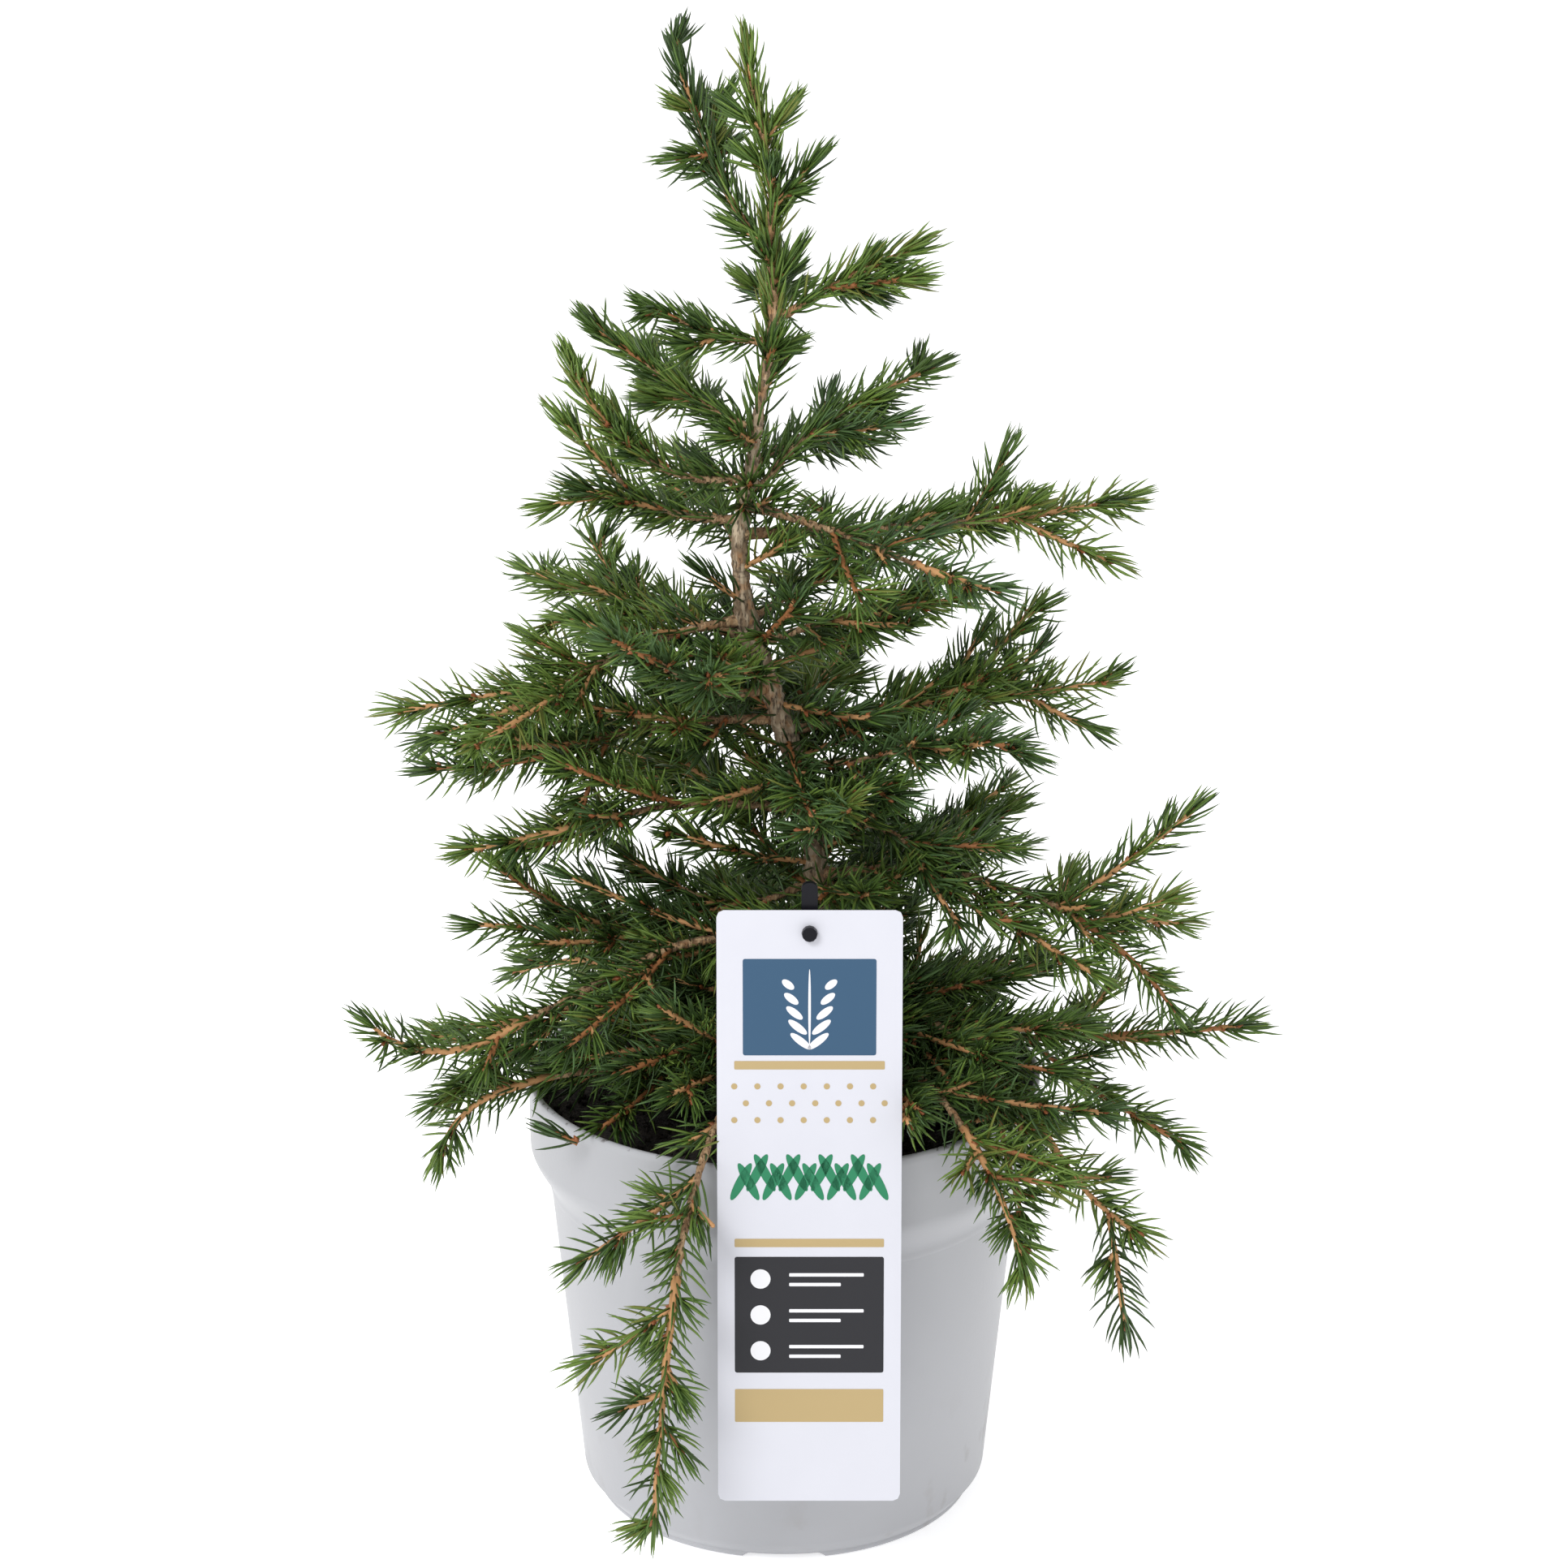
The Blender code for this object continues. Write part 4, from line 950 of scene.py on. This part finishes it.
def limb_corners(bough):
    """A bough's wood from inside the trunk to where its youngest stretch begins."""
    line = bough_line(bough)
    reach = distances(line)[-1]
    inside = line[0] - (line[1] - line[0]) / FOOT_STUB * 2.5 * MM
    whole = np.vstack((inside, part_of(line, 0, YOUNG_SHARE, 40)))
    length = distances(whole)[-1]

    def radius(share):
        collar = math.exp(-max(0, share * length - 2.5 * MM) / COLLAR_LENGTH)
        knot = noise.noise(Vector((share * length / KNOT_SPACING, bough.height, bough.heading)))
        swell = 1 + COLLAR_SWELL * collar + KNOT_SWELL * knot
        return LIMB_SLENDER * bough_radius(bough, share * length / reach) * swell

    return barked(limb_rod, whole, radius, 1.7 * MM, 0.26 * MM)


limbs = np.stack([limb_corners(bough) for bough in BOUGHS])
limb_nodes = ["bough_" + bough.name for bough in BOUGHS if bough.length >= MAIN_BOUGH]
piece("bark_limbs", copies_mesh("bark_limbs", limb_rod, limbs), limb_bark, limb_nodes, sharp=None)

# %% [markdown]
# Twigs and buds
#
# Young spruce wood is orange-tan and rough with the pegs that its needles stand on. Each twig is a short rod
# whose rings are a little uneven. A pointed red-brown bud sits at each tip and in the fork of each twig.

# %% Twigs
TWIG_SIDES = 5
TWIG_RINGS = 8
PEG_ROUGHNESS = 0.16
twig_rod = even_rod(TWIG_SIDES, TWIG_RINGS)
TWIG_COLOURS = {"tan": (0.52, 0.27, 0.11), "russet": (0.34, 0.135, 0.045)}


def twig_corners(wood, rng):
    corners, spread = bent_rod(twig_rod, wood.line, lambda share: wood.foot + (wood.tip - wood.foot) * share)
    return corners + spread * (rng.uniform(-1, 1, len(corners)) * PEG_ROUGHNESS * wood.foot)[:, None]


for bough in BOUGHS + [leader]:
    young = 0 if bough is leader else YOUNG_SHARE - 0.02
    line = stems["leader"] if bough is leader else bough_line(bough)
    reach = distances(line)[-1]
    foot = 1.0 * MM if bough is leader else bough_radius(bough, young)
    all_wood.append(Wood(part_of(line, young, 1 - TUFT_REACH / reach, 20), foot, 0.75 * MM))
shades = rng.random(len(all_wood)) < 0.3
for name, chosen in (("tan", ~shades), ("russet", shades)):
    picked = np.stack([twig_corners(wood, rng) for wood, take in zip(all_wood, chosen) if take])
    finish = Finish("twig_" + name, TWIG_COLOURS[name], 0.7)
    piece("twigs_" + name, copies_mesh("twigs_" + name, twig_rod, picked), finish, sharp=None)

# %% Buds
BUD_LENGTH = 3.2 * MM
BUD_STATIONS = ((0, 0.6), (0.4, 1.0), (1, 0.1))
bud = shape_of(drawn_out(4, BUD_STATIONS))
bud_finish = Finish("bud_scales", (0.30, 0.095, 0.03), 0.5)
bud_places = []
for wood in all_wood:
    for share, slant in ((1.0, 0.0), (0.0, 0.9)):
        place, forward, sideways, upward = (rows_of[0] for rows_of in frames_on(wood.line, [share]))
        turn = rng.uniform(0, 2 * math.pi)
        way = unit(forward + slant * (sideways * math.cos(turn) + upward * math.sin(turn)))
        across = unit(np.cross(way, (0.3, 0.5, 0.8)))
        axes = np.stack((across, np.cross(way, across), way))
        size = np.array((1.3 * MM, 1.3 * MM, BUD_LENGTH)) * rng.uniform(0.7, 1.1)
        corners = place + (bud.corners * size) @ axes
        if has_room(corners).all():
            bud_places.append(corners)
bud_places = np.stack(bud_places)
piece("buds", copies_mesh("buds", bud, bud_places), bud_finish, sharp=None)

# %% [markdown]
# The pot
#
# A nursery pot is one thin moulded shell: a rolled lip, a straight collar, a shoulder that steps in, a
# tapered body and a rounded foot with a ring to stand on. A profile spun round the axis gives all of it, with
# arcs where the mould is round. Notches in the foot ring let water out, and are made by lifting corners. Round
# drain holes are cut through the floor with a Boolean, which is applied at once.

# %% The pot's profile
WALL = 1.6 * MM
FOOT_RING_INNER = 66 * MM
UNDERSIDE_DISC = 46 * MM
GUTTER_RAISE = 3 * MM
FOOT_TOP = 8.3 * MM
FOOT_TOP_RADIUS = 76.2 * MM
FOOT_ROUND = 2.5 * MM
POT_STEPS = 144
NOTCHES = 4
NOTCH_HALF_TURN = math.radians(10.5)
NOTCH_HEIGHT = 2.7 * MM


def arc(centre, radius, start, end, steps):
    """Points (radius, height) of a round stretch of a profile, angles in degrees."""
    return [(centre[0] + radius * math.cos(a), centre[1] + radius * math.sin(a))
            for a in np.radians(np.linspace(start, end, steps + 1))]


def ogee(top, bottom, steps):
    """A soft S from one point of the profile to another."""
    shares = np.linspace(0, 1, steps + 1)
    return [(top[0] + (bottom[0] - top[0]) * (share * share * (3 - 2 * share)),
             top[1] + (bottom[1] - top[1]) * share) for share in shares]


def wall_profile():
    """Half the pot's outline, from the axis inside, up over the lip and down to the axis underneath."""
    floor = GUTTER_RAISE + WALL
    inside = [(0, WALL), (UNDERSIDE_DISC - 1 * MM, WALL), (UNDERSIDE_DISC + 1 * MM, floor),
              (FOOT_TOP_RADIUS - WALL - 1.6 * MM, floor), (SHOULDER_RADIUS - WALL, SHOULDER_BOTTOM)]
    inside += ogee((SHOULDER_RADIUS - WALL, SHOULDER_BOTTOM), (RIM_RADIUS - WALL - 0.4 * MM, COLLAR_BOTTOM), 8)
    lip_middle = (RIM_RADIUS - LIP_WALL / 2, POT_HEIGHT - LIP_WALL / 2)
    inside += [(RIM_RADIUS - LIP_WALL, POT_HEIGHT - 4 * MM)]
    lip = arc(lip_middle, LIP_WALL / 2, 180, 0, 10)
    band = [(RIM_RADIUS, POT_HEIGHT - 3.4 * MM), (RIM_RADIUS - 0.25 * MM, POT_HEIGHT - 3.9 * MM)]
    shoulder = ogee((RIM_RADIUS - 0.35 * MM, COLLAR_BOTTOM), (SHOULDER_RADIUS + 0.4 * MM, SHOULDER_BOTTOM + 1 * MM), 14)
    step = [(SHOULDER_RADIUS, SHOULDER_BOTTOM), (SHOULDER_RADIUS - 0.15 * MM, SHOULDER_BOTTOM - 0.5 * MM)]
    line_height = FOOT_TOP + 1.2 * MM
    mould_line = [(FOOT_TOP_RADIUS + 0.3 * MM, line_height), (FOOT_TOP_RADIUS + 0.05 * MM, line_height - 0.5 * MM),
                  (FOOT_TOP_RADIUS, FOOT_TOP)]
    foot = arc((FOOT_RADIUS - FOOT_ROUND, FOOT_ROUND), FOOT_ROUND, 10, -90, 6)
    under = [(FOOT_RING_INNER, 0), (FOOT_RING_INNER - 1 * MM, GUTTER_RAISE),
             (UNDERSIDE_DISC + 2 * MM, GUTTER_RAISE), (UNDERSIDE_DISC, 0), (0, 0)]
    return inside + lip + band + shoulder + step + mould_line + foot + under


# %% Spinning the pot
def spun(profile, steps):
    """A profile of (radius, height) pairs spun once round the axis and closed on it."""
    work = bmesh.new()
    corners = [work.verts.new((radius, 0, height)) for radius, height in profile]
    edges = [work.edges.new(pair) for pair in zip(corners, corners[1:])]
    bmesh.ops.spin(work, geom=corners + edges, cent=(0, 0, 0), axis=(0, 0, 1), angle=2 * math.pi,
                   steps=steps, use_merge=True)
    bmesh.ops.remove_doubles(work, verts=work.verts, dist=0.01 * MM)
    bmesh.ops.dissolve_degenerate(work, edges=work.edges, dist=0.001 * MM)
    bmesh.ops.recalc_face_normals(work, faces=work.faces)
    return work


def near_notch(vert):
    turn = math.atan2(vert.co.y, vert.co.x) % (2 * math.pi / NOTCHES)
    return min(turn, 2 * math.pi / NOTCHES - turn) < NOTCH_HALF_TURN


pot_work = spun(wall_profile(), POT_STEPS)
for vert in pot_work.verts:
    out = math.hypot(vert.co.x, vert.co.y)
    if out > FOOT_RING_INNER - 0.5 * MM and vert.co.z < NOTCH_HEIGHT and near_notch(vert):
        vert.co.z = NOTCH_HEIGHT

# %% Drain holes
DRAIN_HOLES = 6
DRAIN_AWAY = 57 * MM
DRAIN_RADIUS = 5 * MM
DRAIN_TURN = 0.58


def drilled(mesh):
    """The same shell with round drain holes cut through its floor."""
    cutters = bmesh.new()
    for index in range(DRAIN_HOLES):
        angle = 2 * math.pi * (index + DRAIN_TURN) / DRAIN_HOLES
        centre = Matrix.Translation((DRAIN_AWAY * math.cos(angle), DRAIN_AWAY * math.sin(angle), 0))
        bmesh.ops.create_cone(cutters, cap_ends=True, segments=24, radius1=DRAIN_RADIUS, radius2=DRAIN_RADIUS,
                              depth=30 * MM, matrix=centre)
    drills = bpy.data.objects.new("drills", mesh_of(cutters, "drills"))
    shell = bpy.data.objects.new("shell", mesh)
    for obj in (drills, shell):
        bpy.context.scene.collection.objects.link(obj)
    cut = shell.modifiers.new("drain", "BOOLEAN")
    cut.object = drills
    cut.solver = "EXACT"
    bpy.context.view_layer.update()
    done = bpy.data.meshes.new_from_object(shell.evaluated_get(bpy.context.evaluated_depsgraph_get()))
    for obj in (drills, shell):
        bpy.data.objects.remove(obj)
    return done


pot_mesh = drilled(mesh_of(pot_work, "pot_uncut"))
print("faces of the drilled pot:", len(pot_mesh.polygons))

# %% [markdown]
# The plastic
#
# The moulded plastic is a cool pale grey with a soft gloss. Up close it has a faint orange-peel surface,
# a little brown dust scuffed along the foot on one side, and crumbs of dark soil caught on the lip.

# %% Finish of the pot
plastic = Finish("pot_plastic", (0.37, 0.375, 0.395), 0.4, Specular_IOR_Level=0.35)
height_of = plastic.node("ShaderNodeSeparateXYZ", {}, {0: plastic.place()}, output="Z")
low_band = 1 - plastic.clipped(height_of, 2 * MM, 60 * MM)
side_of = plastic.node("ShaderNodeSeparateXYZ", {}, {0: plastic.place()}, output="X")
dusty = 0.3 + 0.7 * plastic.clipped(side_of, -10 * MM, 50 * MM)
scuffs = plastic.clipped(plastic.grain(60, 8, plastic.stretched((1, 1, 0.7))), 0.56, 0.72) * low_band * dusty
lip_band = plastic.clipped(height_of, POT_HEIGHT - 1.2 * MM, POT_HEIGHT)
specks = plastic.clipped(plastic.grain(420, 5), 0.58, 0.64) * lip_band
clouds = plastic.clipped(plastic.grain(14, 3), 0.3, 0.7)
shade = plastic.mixed(clouds, (0.36, 0.365, 0.385), (0.385, 0.39, 0.41))
shade = plastic.mixed(scuffs * 0.45, shade, (0.20, 0.14, 0.09))
plastic.feed("Base Color", plastic.mixed(specks * 0.85, shade, (0.05, 0.035, 0.025)))
plastic.feed("Roughness", 0.30 + 0.12 * clouds + 0.3 * scuffs)
plastic.bump(plastic.grain(700, 2) + 0.6 * plastic.grain(60, 2), 0.04 * MM)
piece("pot_shell", pot_mesh, plastic, ["pot"])

# %% [markdown]
# The soil
#
# Damp potting compost is almost black and crumbly. A disc is spun with many rings and its top is pushed
# about by noise at two sizes; then loose crumbs, each a rough little ball, are strewn over it.

# %% The soil
SOIL_RINGS = 46
SOIL_RADIUS = RIM_RADIUS - LIP_WALL - 1.2 * MM
SOIL_DEPTH = 12 * MM
soil_profile = [(SOIL_RADIUS * index / SOIL_RINGS, SOIL_TOP - 1 * MM) for index in range(SOIL_RINGS + 1)]
soil_profile += [(SOIL_RADIUS - 0.6 * MM, SOIL_TOP - SOIL_DEPTH), (0, SOIL_TOP - SOIL_DEPTH)]
soil_work = spun(soil_profile, 150)
for vert in soil_work.verts:
    if vert.co.z > SOIL_TOP - 2 * MM:
        lumps = 1.6 * noise.noise(vert.co * 130) + 0.9 * noise.noise(vert.co * 420)
        edge = math.hypot(vert.co.x, vert.co.y) / SOIL_RADIUS
        vert.co.z += (lumps - 1.6 * edge ** 4) * MM
compost = Finish("compost", (0.02, 0.014, 0.01), 0.95)
crumbs = compost.clipped(compost.grain(700, 5), 0.35, 0.7)
compost.feed("Base Color", compost.mixed(crumbs, (0.006, 0.004, 0.003), (0.030, 0.021, 0.014)))
compost.feed("Roughness", 1.0 - 0.2 * crumbs)
compost.bump(compost.grain(1100, 5) + crumbs, 0.6 * MM)
piece("soil_bed", mesh_of(soil_work, "soil_bed"), compost, ["soil"], sharp=None)

# %% Crumbs on the soil
CRUMBS = 1400
crumb_work = bmesh.new()
bmesh.ops.create_icosphere(crumb_work, subdivisions=1, radius=1)
for vert in crumb_work.verts:
    vert.co *= 1 + 0.35 * noise.noise(vert.co * 2.3)
crumb = shape_of(crumb_work)
spots = np.sqrt(rng.random(CRUMBS)) * (SOIL_RADIUS - 3 * MM)
turns = rng.uniform(0, 2 * math.pi, CRUMBS)
middles = np.stack((spots * np.cos(turns), spots * np.sin(turns), np.full(CRUMBS, SOIL_TOP - 0.8 * MM)), 1)
sizes = rng.uniform(0.5, 1.7, (CRUMBS, 1, 3)) * MM
crumb_places = middles[:, None] + crumb.corners[None] * sizes
piece("soil_crumbs", copies_mesh("soil_crumbs", crumb, crumb_places), compost, sharp=None)

# %% [markdown]
# The card
#
# The card is a stiff plastic sheet with a thin print. The plain solid already has its round corners and
# hole, so it stays and gets a better finish, and the print is laid on it as films of ink a twentieth of a
# millimetre thick: a slate panel with a white sprig, gold bands, a row of leaves, and a dark panel with discs.

# %% The card's finish
INK = 0.05 * MM
card_finish = Finish("card_white", (0.59, 0.59, 0.645), 0.42, Specular_IOR_Level=0.3)
fibre = card_finish.grain(60, 4)
card_finish.feed("Base Color", card_finish.mixed(fibre, (0.57, 0.575, 0.63), (0.60, 0.605, 0.66)))
card_finish.feed("Roughness", 0.34 + 0.1 * fibre)
card_finish.bump(card_finish.grain(900, 2), 0.01 * MM)
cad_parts["label_card"].material_slots[0].material = card_finish.material
black = Finish("holder_black", (0.009, 0.009, 0.012), 0.4, Specular_IOR_Level=0.12)
black.feed("Roughness", 0.26 + 0.14 * black.grain(500, 3))
black.bump(black.grain(1200, 2), 0.02 * MM)
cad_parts["label_holder"].material_slots[0].material = black.material
card_rows = Matrix((Vector((1, 0, 0)), Vector(-CARD_DOWN), Vector(CARD_FACE))).transposed().to_4x4()
card_place = Matrix.Translation(Vector(CARD_TOP_MIDDLE + CARD_FACE * (CARD_THICK / 2 + 0.02 * MM))) @ card_rows


# %% Shapes of ink
def panel(work, x, y, width, height, corner=0.8 * MM):
    """A rounded rectangle of ink, centred at x and y millimetres down the card."""
    place = Matrix.Translation((x * MM, -y * MM, 0)) @ Matrix.Diagonal((width * MM, height * MM, 1, 1))
    made = bmesh.ops.create_grid(work, x_segments=1, y_segments=1, size=0.5, matrix=place)["verts"]
    bmesh.ops.bevel(work, geom=made, offset=corner, segments=4, profile=0.5, affect="VERTICES", material=-1)


def blot(work, x, y, length, width, turn, sides=20):
    """An ellipse of ink: a disc, a leaf or a dot."""
    made = bmesh.ops.create_circle(work, cap_ends=True, segments=sides, radius=1 * MM)["verts"]
    place = Matrix.Translation((x * MM, -y * MM, 0)) @ Matrix.Rotation(math.radians(turn), 4, "Z")
    bmesh.ops.transform(work, matrix=place @ Matrix.Diagonal((length / 2, width / 2, 1, 1)), verts=made)


def print_ink(name, work, colour, layer):
    """Give flat shapes the thickness of ink and lay them on the card."""
    bmesh.ops.recalc_face_normals(work, faces=work.faces)
    for face in work.faces:
        if face.normal.z < 0:
            face.normal_flip()
    thick = bmesh.ops.solidify(work, geom=work.faces, thickness=INK)
    bmesh.ops.recalc_face_normals(work, faces=work.faces)
    bmesh.ops.transform(work, matrix=card_place @ Matrix.Translation((0, 0, (layer + 1) * INK)), verts=work.verts)
    ink = Finish("ink_" + name, colour, 0.5, Specular_IOR_Level=0.15)
    piece("ink_" + name, mesh_of(work, "ink_" + name), ink)


# %% The print
slate = bmesh.new()
panel(slate, 0, 34, 46, 34)
print_ink("slate", slate, (0.042, 0.092, 0.16), 0)

gold = bmesh.new()
for y, height in ((54.5, 3), (118, 3), (177, 12)):
    panel(gold, 0, y, 52, height, 0.4 * MM)
for row in range(3):
    for column in range(7):
        shift = 4 if row % 2 else 0
        if abs((column - 3) * 8 + shift - 2) < 28:
            blot(gold, (column - 3) * 8 + shift - 2, 62 + 6 * row, 2.2, 2.2, 0, 12)
print_ink("gold", gold, (0.43, 0.325, 0.165), 0)

dark = bmesh.new()
panel(dark, 0, 144, 52, 42)
print_ink("dark", dark, (0.028, 0.028, 0.032), 0)

leaves = bmesh.new()
for column in range(9):
    for side, lean in ((-1, 62), (1, 118)):
        blot(leaves, (column - 4) * 5.6 + side * 1.3, 96 - 3.2 * (column % 2), 15, 3.4, lean)
print_ink("green", leaves, (0.03, 0.20, 0.10), 0)

marks = bmesh.new()
for index in range(5):
    for side in (-1, 1):
        blot(marks, side * (3.0 + 1.1 * index), 46 - 5 * index, 9 - index, 2.6, 90 - side * 52)
blot(marks, 0, 34, 27, 0.9, 90)
for row in range(3):
    blot(marks, -17, 131 + 13 * row, 7, 7, 0, 24)
    panel(marks, 6, 129.5 + 13 * row, 26, 1.2, 0.3 * MM)
    panel(marks, 2, 133 + 13 * row, 18, 1.2, 0.3 * MM)
print_ink("white", marks, (0.72, 0.72, 0.75), 1)

# %% [markdown]
# Light, floor and camera
#
# The picture is a catalogue shot: a white floor that runs out of view, one broad soft light from the upper
# left and front, and a bright even surround, which shows pure white to the camera and lights the plant a
# little less than that. The camera stands 1.27 metres away and looks down by seventeen degrees with a long lens.

# %% Light, floor and camera
CAMERA_AWAY = 1.265
CAMERA_HEIGHT = 0.673
CAMERA_PITCH = math.radians(17.43)
CAMERA_LENS = 83.9
SURROUND = 0.8

floor_work = bmesh.new()
bmesh.ops.create_grid(floor_work, x_segments=1, y_segments=1, size=12)
floor = bpy.data.objects.new("floor", mesh_of(floor_work, "floor"))
bpy.context.scene.collection.objects.link(floor)
floor_finish = Finish("floor_white", (0.93, 0.93, 0.935), 0.9, Emission_Strength=0.5)
floor_finish.feed("Emission Color", (1, 1, 1, 1))
floor_finish.feed("Base Color", floor_finish.mixed(floor_finish.grain(0.8, 2), (0.92, 0.92, 0.925), (0.94, 0.94, 0.945)))
floor.data.materials.append(floor_finish.material)


def area_light(name, place, aim, size, power):
    """A square soft light that looks at a point."""
    light = bpy.data.lights.new(name, "AREA")
    light.size = size
    light.energy = power
    lamp = bpy.data.objects.new(name, light)
    lamp.location = place
    lamp.rotation_euler = (Vector(aim) - Vector(place)).to_track_quat("-Z", "Y").to_euler()
    bpy.context.scene.collection.objects.link(lamp)


area_light("key", (-1.1, -1.7, 1.9), (0, 0, 0.25), 1.0, 36)

world = bpy.data.worlds.new("surround")
bpy.context.scene.world = world
world.use_nodes = True
world.node_tree.nodes["Background"].inputs["Color"].default_value = (1, 1, 1, 1)
seen = world.node_tree.nodes.new("ShaderNodeLightPath").outputs["Is Camera Ray"]
strength = world.node_tree.nodes.new("ShaderNodeMapRange")
strength.inputs["To Min"].default_value = SURROUND
world.node_tree.links.new(seen, strength.inputs["Value"])
world.node_tree.links.new(strength.outputs[0], world.node_tree.nodes["Background"].inputs["Strength"])

view = bpy.data.cameras.new("camera")
view.lens = CAMERA_LENS
view.sensor_width = 36
camera = bpy.data.objects.new("camera", view)
camera.location = (0, -CAMERA_AWAY, CAMERA_HEIGHT)
camera.rotation_euler = (math.pi / 2 - CAMERA_PITCH, 0, 0)
bpy.context.scene.collection.objects.link(camera)
bpy.context.scene.camera = camera
bpy.context.scene.view_settings.view_transform = "Standard"
